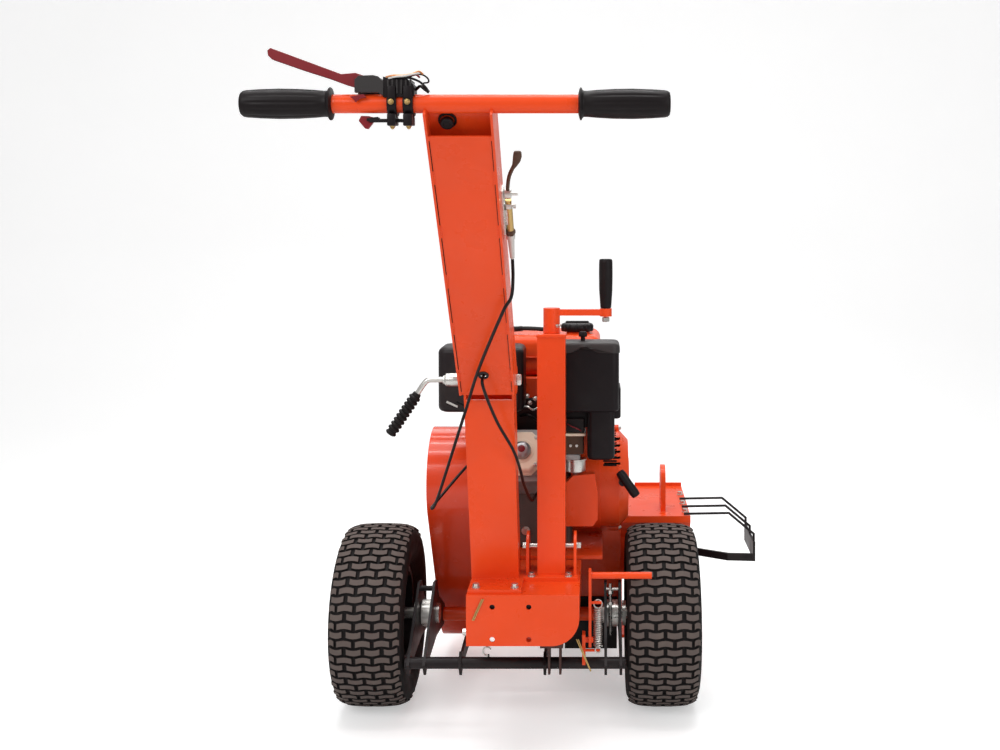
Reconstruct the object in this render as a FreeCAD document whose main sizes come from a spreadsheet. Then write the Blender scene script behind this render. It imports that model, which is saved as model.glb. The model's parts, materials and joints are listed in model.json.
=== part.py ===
import FreeCAD, Part
import Sketcher
import math
import os
import re

# Walk-behind stump grinder, millimetres.
# +X is the operator's right, +Y is forward towards the cutter, +Z is up.
# Shapes are drawn from the ground point under the axle, midway between the wheels, then
# shifted so that the row's origin is on the ground below the middle of the overall box.

DIMENSIONS = {
    # wheels and axle
    "wheel_x": 325, "axle_z": 203, "tyre_radius": 203, "tyre_width": 160,
    "bead_radius": 101, "rim_width": 120, "axle_radius": 12.5, "fit": 0.05,
    # carriage that raises and lowers the machine
    "pivot_tube_y": 120, "pivot_tube_z": 160, "pivot_tube_radius": 16,
    "bar_rear": -165, "bar_level": 149, "cross_bar_radius": 12.5, "arm_gauge": 6,
    # rear base box and chassis
    "base_left": -90, "base_right": 142, "base_rear": -310, "base_front": -60,
    "base_top": 344, "base_bottom": 239, "sheet": 5,
    "hitch_x": 1, "hitch_z": 286, "hitch_span_x": 75, "hitch_span_z": 67, "hitch_radius": 5.5,
    "rail_left": -90, "rail_gauge": 8, "rail_right": 52, "deck_gauge": 8,
    # fixed handle post
    "post_x": -38, "post_width": 100, "post_depth": 60, "post_wall": 4, "post_lean": 18,
    "pivot_y": -332, "pivot_z": 790, "post_end": 31, "clamp_bolt_radius": 8,
    # tilting mast and handlebar
    "mast_lean": 42, "mast_width": 109, "mast_wall": 4, "mast_front": 20, "mast_rear": 58,
    "mast_start": 20, "bar_reach": 704, "bar_offset": 30, "bar_radius": 15,
    "bar_left": -382, "bar_right": 296, "grip_length": 146, "grip_radius": 23,
    # screw jack
    "jack_x": 80, "jack_y": -165, "jack_size": 60, "jack_wall": 4, "jack_foot": 352,
    "jack_top": 868, "jack_inner": 50, "screw_radius": 9, "crank_reach": 117,
    # engine
    "crank_y": 105, "crank_z": 495, "shaft_radius": 12.5, "flywheel_radius": 98,
    "recoil_radius": 115, "engine_left": -80, "engine_right": 118,
    # belt drive and cutter
    "cutter_y": 310, "cutter_z": 165, "cutter_shaft_radius": 15, "disc_radius": 110,
    "tooth_radius": 137, "belt_left": -215, "belt_right": -110,
    "cover_top_radius": 122, "cover_low_radius": 115, "cover_gauge": 3,
    "drive_pulley_radius": 62, "driven_pulley_radius": 50,
    # cutter housing
    "house_left": 60, "chamber_right": 235, "house_right": 408, "house_front": 508,
    "house_top": 384, "chamber_rear": 158, "house_rear": 175, "house_low": 95,
    "flap_gauge": 6, "guard_reach": 569,
    # wheel lock pedal
    "pedal_x": 160, "pedal_y": -185, "pedal_pin_z": 207, "pedal_pin_radius": 6,
}

doc = FreeCAD.newDocument("stump_grinder")
sheet = doc.addObject("Spreadsheet::Sheet", "Dims")
for row, (alias, number) in enumerate(DIMENSIONS.items(), start=1):
    sheet.set(f"A{row}", alias)
    sheet.set(f"B{row}", str(number))
    sheet.setAlias(f"B{row}", alias)
doc.recompute()

ALONG = {
    "x": FreeCAD.Rotation(FreeCAD.Vector(0, 0, 1), FreeCAD.Vector(1, 0, 0)),
    "y": FreeCAD.Rotation(FreeCAD.Vector(0, 0, 1), FreeCAD.Vector(0, 1, 0)),
    "z": FreeCAD.Rotation(),
}
nodes = []

# The handlebar's middle, and the point on the ground below the middle of the overall box
BAR_Y = "(pivot_y - bar_reach * sin(mast_lean) - bar_offset * cos(mast_lean))"
BAR_Z = "(pivot_z + bar_reach * cos(mast_lean) - bar_offset * sin(mast_lean))"
MIDDLE_X = "((guard_reach - wheel_x - tyre_width / 2) / 2)"
MIDDLE_Y = f"((house_front + flap_gauge + {BAR_Y} - grip_radius - 4) / 2)"


def size(alias):
    """A driving dimension, read from the sheet."""
    return float(sheet.get(alias))


def linked(expression):
    """The expression with each dimension's name pointed at the sheet."""
    text = str(expression)
    return re.sub(r"[a-z_]+", lambda m: f"Dims.{m[0]}" if m[0] in DIMENSIONS else m[0], text)


def bind(item, **properties):
    for name, expression in properties.items():
        item.setExpression(name, linked(expression))


def place(item, x, y, z, turn=None):
    if turn is not None:
        item.Placement = FreeCAD.Placement(FreeCAD.Vector(), turn)
    for letter, expression in zip("xyz", (x, y, z)):
        item.setExpression(f"Placement.Base.{letter}", linked(expression))
    return item


def node(item, name):
    """Shift a finished sub-part to the row's frame and name it: its label is its file's name."""
    part = doc.addObject("Part::Compound", "placed_" + name)
    part.Links = [item]
    place(part, f"-{MIDDLE_X}", f"-{MIDDLE_Y}", 0)
    part.Label = name
    nodes.append(part)
    return part


def box(name, x, y, z, width, depth, height):
    item = doc.addObject("Part::Box", name)
    bind(item, Length=width, Width=depth, Height=height)
    return place(item, x, y, z)


def rod(name, axis, x, y, z, radius, length):
    item = doc.addObject("Part::Cylinder", name)
    bind(item, Radius=radius, Height=length)
    return place(item, x, y, z, ALONG[axis])


def cone(name, axis, x, y, z, radius, end_radius, length):
    item = doc.addObject("Part::Cone", name)
    bind(item, Radius1=radius, Radius2=end_radius, Height=length)
    return place(item, x, y, z, ALONG[axis])


def fuse(name, *pieces):
    item = doc.addObject("Part::MultiFuse", name)
    item.Shapes = list(pieces)
    return item


def cut(name, base, *tools):
    item = doc.addObject("Part::Cut", name)
    item.Base = base
    item.Tool = tools[0] if len(tools) == 1 else fuse(name + "_tools", *tools)
    return item


def group(name, *pieces):
    """Separate solids that share one node, such as a set of bolts."""
    item = doc.addObject("Part::Compound", name)
    item.Links = list(pieces)
    return item


def rounded(name, base, radius, along=None):
    """Round a block's edges: all of them, or only those along one axis."""
    doc.recompute()
    item = doc.addObject("Part::Fillet", name)
    item.Base = base
    chosen = []
    for number, edge in enumerate(base.Shape.Edges, start=1):
        direction = edge.tangentAt(edge.FirstParameter)
        if along is None or abs(direction.dot(along)) > 0.99:
            chosen.append((number, radius, radius))
    item.Edges = chosen
    return item


def tilted(item, lean, x="post_x"):
    """Carry an upright piece, drawn about the mast pivot, to its leaning place."""
    item.Placement = FreeCAD.Placement(
        FreeCAD.Vector(), FreeCAD.Rotation(FreeCAD.Vector(1, 0, 0), size(lean))
    )
    return place(item, x, "pivot_y", "pivot_z")


def sketch_on(body, plane, offset):
    sketch = body.newObject("Sketcher::SketchObject", body.Name + "_sketch")
    origin_plane = [f for f in body.Origin.OriginFeatures if f.Role == plane + "_Plane"][0]
    sketch.AttachmentSupport = [(origin_plane, "")]
    sketch.MapMode = "FlatFace"
    sketch.setExpression("AttachmentOffset.Base.z", linked(offset))
    return sketch


def pin_point(sketch, geometry, position, name, across, up):
    """Tie one point of a sketch to the sheet, measured from the sketch's origin."""
    for kind, expression in (("DistanceX", across), ("DistanceY", up)):
        index = sketch.addConstraint(Sketcher.Constraint(kind, -1, 1, geometry, position, 1.0))
        label = f"{name}_{kind[-1]}"
        sketch.renameConstraint(index, label)
        sketch.setExpression(f"Constraints.{label}", linked(expression))


def outline(sketch, points):
    """A closed polygon whose corners are all tied to the sheet."""
    count = len(points)
    guess = [
        FreeCAD.Vector(math.cos(2 * math.pi * n / count), math.sin(2 * math.pi * n / count), 0)
        for n in range(count)
    ]
    for n in range(count):
        sketch.addGeometry(Part.LineSegment(guess[n], guess[(n + 1) % count]), False)
    for n in range(count):
        sketch.addConstraint(Sketcher.Constraint("Coincident", n, 2, (n + 1) % count, 1))
    for n, (across, up) in enumerate(points):
        pin_point(sketch, n, 1, f"corner{n}", across, up)


def prism(name, plane, offset, points, length):
    """A padded polygon: a sketch on one origin plane, extruded along its normal."""
    body = doc.addObject("PartDesign::Body", name)
    sketch = sketch_on(body, plane, offset)
    outline(sketch, points)
    pad = body.newObject("PartDesign::Pad", name + "_pad")
    pad.Profile = sketch
    bind(pad, Length=length)
    return body


def turned(name, points):
    """A revolved profile: corners as (distance along X, radius), spun about the X axis."""
    body = doc.addObject("PartDesign::Body", name)
    sketch = sketch_on(body, "XY", 0)
    outline(sketch, points)
    spin = body.newObject("PartDesign::Revolution", name + "_spin")
    spin.Profile = sketch
    spin.ReferenceAxis = (sketch, ["H_Axis"])
    spin.Angle = 360
    return body


def hull_prism(name, offset, top_radius, low_radius, length):
    """A belt-shaped outline, one round end over each shaft and straight sides, padded."""
    body = doc.addObject("PartDesign::Body", name)
    sketch = sketch_on(body, "YZ", offset)
    top = FreeCAD.Vector(size("crank_y"), size("crank_z"), 0)
    low = FreeCAD.Vector(size("cutter_y"), size("cutter_z"), 0)
    line = low.sub(top)
    heading = math.atan2(line.y, line.x)
    rough_top = size("cover_top_radius")
    rough_low = size("cover_low_radius")
    splay = math.acos((rough_top - rough_low) / line.Length)
    up_axis = FreeCAD.Vector(0, 0, 1)
    top_arc = Part.ArcOfCircle(
        Part.Circle(top, up_axis, rough_top), heading + splay, heading - splay + 2 * math.pi
    )
    low_arc = Part.ArcOfCircle(
        Part.Circle(low, up_axis, rough_low), heading - splay, heading + splay
    )
    sketch.addGeometry(top_arc, False)
    sketch.addGeometry(low_arc, False)
    sketch.addGeometry(Part.LineSegment(top_arc.EndPoint, low_arc.StartPoint), False)
    sketch.addGeometry(Part.LineSegment(low_arc.EndPoint, top_arc.StartPoint), False)
    for first, end, second, start in ((0, 2, 2, 1), (2, 2, 1, 1), (1, 2, 3, 1), (3, 2, 0, 1)):
        sketch.addConstraint(Sketcher.Constraint("Tangent", first, end, second, start))
    pin_point(sketch, 0, 3, "top", "crank_y", "crank_z")
    pin_point(sketch, 1, 3, "low", "cutter_y", "cutter_z")
    for arc, label, expression in ((0, "top_radius", top_radius), (1, "low_radius", low_radius)):
        index = sketch.addConstraint(Sketcher.Constraint("Radius", arc, rough_top))
        sketch.renameConstraint(index, label)
        sketch.setExpression(f"Constraints.{label}", linked(expression))
    pad = body.newObject("PartDesign::Pad", name + "_pad")
    pad.Profile = sketch
    bind(pad, Length=length)
    return body


def hex_bolt(name, axis, x, y, z, radius, sense=1):
    """A hexagon head with a washer, standing on the face at the given point."""
    washer = rod(name + "_washer", axis, 0, 0, 0, radius * 1.25, 2)
    head = doc.addObject("Part::Prism", name + "_head")
    head.Polygon = 6
    bind(head, Circumradius=radius, Height=radius)
    shift = [2 if letter == axis else 0 for letter in "xyz"]
    place(head, *shift, ALONG[axis])
    bolt = fuse(name, washer, head)
    flip = FreeCAD.Rotation()
    if sense < 0:
        other = FreeCAD.Vector(0, 0, 1) if axis != "z" else FreeCAD.Vector(1, 0, 0)
        flip = FreeCAD.Rotation(other, 180)
    return place(bolt, x, y, z, flip)


def tube_through(name, points, radius):
    """A round cable, hose or bent wire swept along a smooth path."""
    path = Part.BSplineCurve()
    path.interpolate([FreeCAD.Vector(*point) for point in points])
    wire = Part.Wire([path.toShape()])
    start = path.value(path.FirstParameter)
    heading = path.tangent(path.FirstParameter)[0]
    ring = Part.Wire([Part.makeCircle(radius, start, heading)])
    item = doc.addObject("Part::Feature", name)
    item.Shape = wire.makePipeShell([ring], True, True)
    return item


def bent_rod(name, points, radius):
    """A rod of straight lengths with a ball at each bend."""
    shapes = []
    corners = [FreeCAD.Vector(*point) for point in points]
    for start, end in zip(corners, corners[1:]):
        shapes.append(Part.makeCylinder(radius, end.sub(start).Length, start, end.sub(start)))
    for corner in corners[1:-1]:
        shapes.append(Part.makeSphere(radius, corner))
    item = doc.addObject("Part::Feature", name)
    item.Shape = shapes[0].multiFuse(shapes[1:]).removeSplitter()
    return item


# Rear base box, chassis and deck


def make_base_box():
    """Folded box, open below and in front, with a rounded lower right corner."""
    outer = box(
        "base_outer", "base_left", "base_rear", "base_bottom",
        "base_right - base_left", "base_front - base_rear", "base_top - base_bottom",
    )
    hollow = box(
        "base_hollow", "base_left + sheet", "base_rear + sheet", "base_bottom - 1",
        "base_right - base_left - 2 * sheet", "base_front - base_rear",
        "base_top - base_bottom - sheet + 1",
    )
    corner = cut(
        "base_corner",
        box("corner_block", "base_right - 57", "base_rear - 1", "base_bottom - 1", 60,
            "base_front - base_rear + 2", 58),
        rod("corner_round", "y", "base_right - 57", "base_rear - 2", "base_bottom + 57", 57,
            "base_front - base_rear + 4"),
    )
    jack_hole = box("base_jack_hole", "jack_x - 28", "jack_y - 28", "base_top - 20", 56, 56, 40)
    holes = []
    for side in (-1, 1):
        for level in (-1, 1):
            holes.append(rod(
                "hitch_hole", "y", f"hitch_x + {side} * hitch_span_x / 2", "base_rear - 1",
                f"hitch_z + {level} * hitch_span_z / 2", "hitch_radius", 10,
            ))
    return node(cut("base", outer, hollow, corner, jack_hole, *holes), "base_box")


def make_chassis():
    """Two side rails, the engine deck, a cross plate and the tube the carriage swings on."""
    rails = []
    for left in ("rail_left", "rail_right"):
        rail = prism(
            "rail", "YZ", left,
            [("base_front", "base_top"), ("base_front", 262), (70, 128), (370, 128),
             (370, "base_top")],
            "rail_gauge",
        )
        rails.append(rail)
    plate = box("cross_plate", "rail_left + rail_gauge", 362, 128,
                "rail_right - rail_left - rail_gauge", 8, "base_top - 128")
    tube = rod("pivot_tube", "x", -236, "pivot_tube_y", "pivot_tube_z", "pivot_tube_radius", 470)
    shaft_holes = rod("shaft_holes", "x", -95, "cutter_y", "cutter_z", 20, 160)
    deck = box("deck_plate", -98, "base_front + 5", "base_top", 288, 206, "deck_gauge")
    slots = [box("deck_slot", x, y, "base_top - 1", 34, 9, 12) for x in (-72, 74) for y in (-20, 112)]
    return node(fuse("chassis_weldment", cut("bored_rails", fuse("rails", *rails), shaft_holes),
                     cut("slotted_deck", deck, *slots), plate, tube), "chassis")


# Cutter housing, guard, flaps and skids


def make_cutter_housing():
    """Chamber round the cutter and the wing welded to its side, with an arched lifting lug."""
    chamber_width = "chamber_right - house_left"
    wing_width = "house_right - chamber_right"
    chamber_top = box("chamber_top", "house_left", "chamber_rear", "house_top - sheet",
                      chamber_width, "house_front - chamber_rear", "sheet")
    wing_top = box("wing_top", "chamber_right", "house_rear", "house_top - sheet",
                   wing_width, "house_front - house_rear", "sheet")
    walls = [
        box("chamber_wall", x, "chamber_rear", "house_low", "sheet",
            "house_front - chamber_rear", "house_top - house_low")
        for x in ("house_left", "chamber_right - sheet")
    ]
    rear = box("chamber_back", "house_left", "chamber_rear", 150, chamber_width, "sheet",
               "house_top - 150")
    wing_back = prism(
        "wing_back", "YZ", "chamber_right",
        [("house_rear", "house_top"), ("house_rear", 368), (225, 318), (225, 230), (230, 230),
         (230, 320), ("house_rear + sheet", 370), ("house_rear + sheet", "house_top")],
        wing_width,
    )
    wing_side = prism(
        "wing_side", "YZ", "house_right - sheet",
        [("house_rear", "house_top"), ("house_rear", 368), (225, 318), (225, 230),
         ("house_front", 230), ("house_front", "house_top")],
        "sheet",
    )
    lip = box("front_lip", 280, "house_front - sheet", "house_top", "house_right - 280", "sheet", 9)
    lug_plate = box("lug_plate", 337, 220, "house_top", 12, 70, 76)
    lug_arch = rod("lug_arch", "x", 337, 255, "house_top + 76", 35, 12)
    shaft_hole = rod("housing_shaft_hole", "x", "house_left - 1", "cutter_y", "cutter_z", 20, 8)
    chamber = cut("chamber", fuse("chamber_shell", chamber_top, *walls, rear), shaft_hole)
    lug_hole = rod("lug_hole", "x", 330, 255, "house_top + 78", 14, 30)
    wing = cut("wing", fuse("wing_shell", wing_top, wing_back, wing_side, lip, lug_plate, lug_arch),
               lug_hole)
    return node(group("housing", chamber, wing), "cutter_housing")


def make_debris_guard():
    """Three bent wires over the side opening, joined by a flat bar that returns to the wing."""
    pieces = []
    for y in (182, 257, 340):
        wire = bent_rod("guard_wire", [(392, y, 388), (503, y, 390), (565, y, 338), (565, y, 312)], 3)
        pieces.append(wire)
    pieces.append(box("guard_bar", 562, 174, 278, 6, 174, 42))
    arm = prism("guard_arm", "XY", 272,
                [(568, 174), (500, 180), (408, 236), (408, 243), (502, 187), (568, 181)], 18)
    pieces.append(arm)
    return node(fuse("guard", *pieces), "debris_guard")


def make_rubber_flaps():
    rear = box("rear_flap", 98, "chamber_rear - flap_gauge", 63, 128, "flap_gauge", 127)
    front = box("front_flap", 66, "house_front", 130, 163, "flap_gauge", 249)
    return node(group("flaps", rear, front), "rubber_flaps")


def make_skid_shoes():
    """Wear shoes under the front of the housing, resting on the ground."""
    shoes = []
    for wall, foot in (("house_left - 8", "house_left - 36"), ("chamber_right", "chamber_right")):
        upright = box("skid_upright", wall, 400, 0, 8, 105, 160)
        shoes.append(fuse("shoe", upright, box("skid_foot", foot, 400, 0, 36, 105, 8)))
    return node(group("skids", *shoes), "skid_shoes")


# Belt drive


def make_belt_cover():
    outer = hull_prism("cover_outer", "belt_left", "cover_top_radius", "cover_low_radius",
                       "belt_right - belt_left")
    inner = hull_prism("cover_inner", "belt_left + cover_gauge", "cover_top_radius - cover_gauge",
                       "cover_low_radius - cover_gauge", "belt_right - belt_left")
    return node(cut("cover", outer, inner), "belt_cover")


def make_belt_backplate():
    plate = hull_prism("backplate_blank", "belt_right", "cover_top_radius", "cover_low_radius", 4)
    top = rod("backplate_top_hole", "x", "belt_right - 1", "crank_y", "crank_z", 30, 6)
    low = rod("backplate_low_hole", "x", "belt_right - 1", "cutter_y", "cutter_z", 30, 6)
    return node(cut("backplate", plate, top, low), "belt_backplate")


def make_drive_belts():
    """Two V belts side by side round both pulleys."""
    belts = []
    for start in (-171, -159):
        outer = hull_prism("belt_outer", start, "drive_pulley_radius + 6", "driven_pulley_radius + 6",
                           10)
        inner = hull_prism("belt_inner", start - 1, "drive_pulley_radius + 0.5",
                           "driven_pulley_radius + 0.5", 12)
        belts.append(cut("belt", outer, inner))
    return node(group("belts", *belts), "drive_belts")


def make_pulley(name, radius, bore, y, z):
    """A two-groove pulley: a rim between three flanges, bored for its shaft."""
    rim = rod(name + "_rim", "x", -175, y, z, radius, 30)
    flanges = [rod(name + "_flange", "x", x, y, z, f"{radius} + 8", 1.6) for x in (-175, -146.6)]
    hole = rod(name + "_bore", "x", -176, y, z, bore, 32)
    return node(cut(name + "_blank", fuse(name + "_solid", rim, *flanges), hole), name)


def make_cutter():
    """Cutter shaft in two flange bearings, with a toothed disc at its free end."""
    shaft = rod("shaft", "x", -190, "cutter_y", "cutter_z", "cutter_shaft_radius", 385)
    node(shaft, "cutter_shaft")
    bearings = []
    for start in ("rail_left + rail_gauge", "rail_right - 24"):
        seat = rod("bearing_body", "x", start, "cutter_y", "cutter_z", 40, 24)
        bore = rod("bearing_bore", "x", f"{start} - 1", "cutter_y", "cutter_z",
                   "cutter_shaft_radius + fit", 26)
        bearings.append(cut("bearing", seat, bore))
    node(group("bearings", *bearings), "shaft_bearings")
    disc = rod("disc_plate", "x", 140, "cutter_y", "cutter_z", "disc_radius", 15)
    hub = rod("disc_hub", "x", 120, "cutter_y", "cutter_z", 32, 55)
    teeth = []
    for n in range(8):
        side = 128 if n % 2 else 155
        tooth = box("tooth", 0, -13, "disc_radius - 24", 12, 26, "tooth_radius - disc_radius + 22")
        turn = FreeCAD.Rotation(FreeCAD.Vector(1, 0, 0), 45 * n)
        holder = group("tooth_holder", tooth)
        holder.Placement = FreeCAD.Placement(FreeCAD.Vector(), turn)
        teeth.append(place(holder, side, "cutter_y", "cutter_z"))
    solid = fuse("disc_solid", disc, hub, *teeth)
    bore = rod("disc_bore", "x", 110, "cutter_y", "cutter_z", "cutter_shaft_radius", 75)
    node(cut("cutter_wheel", solid, bore), "cutter_disc")


# Handle post and screw jack


def make_handle_post():
    """Box tube leaning back from a foot flange, its side walls carried up as pivot ears."""
    flange = box("post_flange", "base_left + 2", "base_rear + 10", "base_top", 110, 150, 8)
    outer = box("post_outer", "-post_width / 2", "-post_depth / 2", -520, "post_width", "post_depth",
                "520 - post_end")
    ears = [
        box("post_ear", x, "-post_depth / 2", -60, "post_wall", "post_depth", 60)
        for x in ("-post_width / 2", "post_width / 2 - post_wall")
    ]
    rounds = [
        rod("post_ear_round", "x", x, 0, 0, "post_depth / 2", "post_wall")
        for x in ("-post_width / 2", "post_width / 2 - post_wall")
    ]
    hollow = box("post_hollow", "post_wall - post_width / 2", "post_wall - post_depth / 2", -530,
                 "post_width - 2 * post_wall", "post_depth - 2 * post_wall", 600)
    bolt_hole = rod("post_bolt_hole", "x", "-post_width", 0, 0, "clamp_bolt_radius + fit",
                    "2 * post_width")
    tube = tilted(cut("post_tube", fuse("post_solid", outer, *ears, *rounds), hollow, bolt_hole),
                  "post_lean")
    below = box("post_below", -200, -400, 0, 300, 500, "base_top + 8")
    return node(fuse("post", cut("post_trimmed", tube, below), flange), "handle_post")


def make_jack():
    """Foot bracket, fixed outer tube, sliding inner tube with its clevis, screw and crank."""
    foot = box("jack_foot_plate", 22, "jack_y - 52", "base_top", 116, 92, 8)
    ears = []
    for x in (26, 128):
        plate = box("jack_ear", x, "jack_y - 34", "jack_foot", 6, 68, 52)
        crown = rod("jack_ear_crown", "x", x, "jack_y", "jack_foot + 52", 34, 6)
        ears.append(fuse("jack_ear_solid", plate, crown))
    tunnel = box("jack_foot_hole", "jack_x - 27", "jack_y - 27", "base_top - 1", 54, 54, 10)
    pins = rod("jack_ear_holes", "x", 20, "jack_y", "jack_foot + 54", 6, 120)
    node(cut("jack_foot_bracket", fuse("jack_bracket_solid", foot, *ears), tunnel, pins),
         "jack_bracket")

    tube = box("jack_tube", "jack_x - jack_size / 2", "jack_y - jack_size / 2", "jack_foot",
               "jack_size", "jack_size", "jack_top - jack_foot")
    room = box("jack_room", "jack_x - jack_size / 2 + jack_wall",
               "jack_y - jack_size / 2 + jack_wall", "jack_foot - 1",
               "jack_size - 2 * jack_wall", "jack_size - 2 * jack_wall",
               "jack_top - jack_foot - 5")
    top_hole = rod("jack_top_hole", "z", "jack_x", "jack_y", "jack_top - 10",
                   "screw_radius + fit", 20)
    node(cut("jack_outer", tube, room, top_hole), "jack_outer_tube")

    half = "jack_inner / 2"
    slide = box("jack_slide", f"jack_x - {half}", f"jack_y - {half}", 190, "jack_inner",
                "jack_inner", 440)
    bore = rod("jack_slide_bore", "z", "jack_x", "jack_y", 196, 20, 410)
    nut = rod("jack_nut_bore", "z", "jack_x", "jack_y", 600, "screw_radius + fit", 40)
    plates = []
    for x in (72, 96):
        plates.append(prism(
            "clevis_plate", "YZ", x,
            [(-186, 190), (-186, 134), (-178, 128), (-150, 128), (-142, 134), (-142, 190)], 5,
        ))
    slot = box("clevis_slot", 60, "bar_rear - 2", "bar_level - cross_bar_radius - 0.8", 50, 9,
               "2 * cross_bar_radius + 1.6")
    ends = [
        rod("clevis_slot_end", "x", 60, y, "bar_level", "cross_bar_radius + 0.8", 50)
        for y in ("bar_rear - 2", "bar_rear + 7")
    ]
    node(cut("jack_inner_slide", fuse("jack_slide_solid", slide, *plates), bore, nut, slot, *ends),
         "jack_inner_tube")

    screw = rod("screw_rod", "z", "jack_x", "jack_y", 300, "screw_radius", "jack_top + 40 - 300")
    node(screw, "jack_screw")
    hub = rod("crank_hub", "z", "jack_x", "jack_y", "jack_top + 1", 18, 54)
    arm = box("crank_bar", "jack_x", "jack_y - 9", "jack_top + 39", "crank_reach", 18, 13)
    eye = rod("crank_eye", "z", "jack_x + crank_reach", "jack_y", "jack_top + 37", 13, 17)
    socket = rod("crank_socket", "z", "jack_x", "jack_y", "jack_top", "screw_radius", 40)
    pin_hole = rod("crank_pin_hole", "z", "jack_x + crank_reach", "jack_y", "jack_top + 30", 5, 30)
    node(cut("crank", fuse("crank_solid", hub, arm, eye), socket, pin_hole), "crank_arm")
    pin = rod("grip_pin", "z", "jack_x + crank_reach", "jack_y", "jack_top + 28", 4.95, 126)
    sleeve = rod("grip_sleeve", "z", "jack_x + crank_reach", "jack_y", "jack_top + 55", 14, 106)
    nut = rod("grip_nut", "z", "jack_x + crank_reach", "jack_y", "jack_top + 28", 8, 8)
    node(fuse("grip", sleeve, pin, nut), "crank_grip")


# Engine, its crank across the machine and its head towards the operator


def make_crankcase():
    block = box("case_block", "engine_left", 10, "base_top + deck_gauge",
                "engine_right - engine_left", 142, 248)
    room = rod("case_room", "x", "engine_left + 20", "crank_y", "crank_z", 43,
               "engine_right - engine_left - 40")
    bore = rod("case_bore", "x", "engine_left - 1", "crank_y", "crank_z", "shaft_radius + fit",
               "engine_right - engine_left + 2")
    shell = rounded("case_rounded", block, 9)
    return node(cut("case", shell, room, bore), "crankcase")


def make_cylinder():
    """Finned barrel and head, leaning back from the crank, with its valve cover."""
    lean = FreeCAD.Rotation(FreeCAD.Vector(1, 0, 0), 62)
    barrel = box("barrel", -42, -48, 60, 92, 96, 135)
    fins = [box("fin", -52, -60, 70 + 11 * n, 112, 120, 4) for n in range(11)]
    finned = fuse("finned_barrel", barrel, *fins)
    finned.Placement = FreeCAD.Placement(FreeCAD.Vector(), lean)
    place(finned, 2, "crank_y", "crank_z")
    case_room = box("case_side", -200, 9.5, 300, 400, 300, 500)
    node(cut("cylinder_solid", finned, case_room), "cylinder")

    cover = doc.addObject("Part::Prism", "cover_octagon")
    cover.Polygon = 8
    bind(cover, Circumradius=54, Height=24)
    place(cover, 0, 0, 195, FreeCAD.Rotation(FreeCAD.Vector(0, 0, 1), 22.5))
    rim = doc.addObject("Part::Prism", "cover_step")
    rim.Polygon = 8
    bind(rim, Circumradius=44, Height=10)
    place(rim, 0, 0, 218, FreeCAD.Rotation(FreeCAD.Vector(0, 0, 1), 22.5))
    cap = rod("cover_cap", "z", 0, 0, 228, 19, 9)
    whole = fuse("valve_cover_solid", cover, rim, cap)
    whole.Placement = FreeCAD.Placement(FreeCAD.Vector(), lean)
    node(place(whole, 10, "crank_y", "crank_z"), "valve_cover")


def make_fan_shroud():
    drum = rod("shroud_drum", "x", "engine_right", "crank_y", "crank_z", 118, 67)
    tower = box("shroud_tower", "engine_right", 20, "crank_z", 67, 132, 150)
    room = rod("shroud_room", "x", "engine_right - 1", "crank_y", "crank_z",
               "flywheel_radius + 6", 63)
    bore = rod("shroud_bore", "x", "engine_right + 50", "crank_y", "crank_z", 40, 30)
    return node(cut("shroud", fuse("shroud_solid", drum, tower), room, bore), "fan_shroud")


def make_recoil_cover():
    """Domed starter cover with cooling slots above and a mouth for the pull cord."""
    start = "engine_right + 67"
    drum = rod("recoil_drum", "x", start, "crank_y", "crank_z", "recoil_radius", 44)
    dome = cone("recoil_dome", "x", f"{start} + 44", "crank_y", "crank_z", "recoil_radius",
                "recoil_radius - 24", 22)
    mouth = rod("recoil_mouth", "y", 236, -24, 517, 13, 60)
    room = rod("recoil_room", "x", f"{start} - 1", "crank_y", "crank_z", "recoil_radius - 4", 44)
    dome_room = cone("recoil_dome_room", "x", f"{start} + 43", "crank_y", "crank_z",
                     "recoil_radius - 4", "recoil_radius - 27", 19)
    cord_hole = rod("cord_hole", "y", 236, -30, 517, 4, 60)
    slots = [box("recoil_slot", 194, -20, 547 + 12 * n, 38, 250, 5) for n in range(5)]
    return node(cut("recoil", fuse("recoil_solid", drum, dome, mouth), room, dome_room, cord_hole,
                    *slots), "recoil_cover")


def make_crankshaft():
    main = rod("crank_main", "x", -188, "crank_y", "crank_z", "shaft_radius", 400)
    webs = [rod("crank_web", "x", x, "crank_y - 14", "crank_z", 25, 16) for x in (-22, 34)]
    throw = rod("crank_throw", "x", -10, "crank_y - 24", "crank_z", 11, 50)
    journal_gap = box("journal_gap", -6, 60, 400, 40, 100, 200)
    shaft = fuse("crank_solid_shaft", cut("main_split", main, journal_gap), *webs, throw)
    node(shaft, "crankshaft")
    wheel = rod("flywheel_disc", "x", 130, "crank_y", "crank_z", "flywheel_radius", 30)
    bore = rod("flywheel_bore", "x", 120, "crank_y", "crank_z", "shaft_radius", 60)
    node(cut("fan_wheel", wheel, bore), "flywheel")


def make_fuel_system():
    body = rounded("tank_body", box("tank_block", -130, 30, 749, 315, 220, 95), 22)
    neck = rod("tank_neck", "z", 130, 100, 840, 28, 9)
    feet = [box("tank_foot", x, 60, 600, 20, 70, 160) for x in (-60, 84)]
    mouth = rod("tank_mouth", "z", 130, 100, 830, 24, 30)
    room = rounded("tank_room", box("tank_hollow", -126, 34, 753, 307, 212, 87), 18)
    node(cut("tank", fuse("tank_solid", body, neck, *feet), room, mouth), "fuel_tank")
    lid = rod("cap_lid", "z", 130, 100, 849, 39, 20)
    plug = rod("cap_plug", "z", 130, 100, 842, 23.95, 10)
    node(fuse("cap", lid, plug), "fuel_cap")
    hose = tube_through("hose", [(-34, 70, 855), (4, 64, 858), (44, 58, 857), (84, 50, 854)], 5)
    node(hose, "fuel_hose")


def make_muffler():
    return node(rounded("muffler_body", box("muffler_block", -184, -110, 684, 199, 115, 147), 16),
                "muffler")


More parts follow.
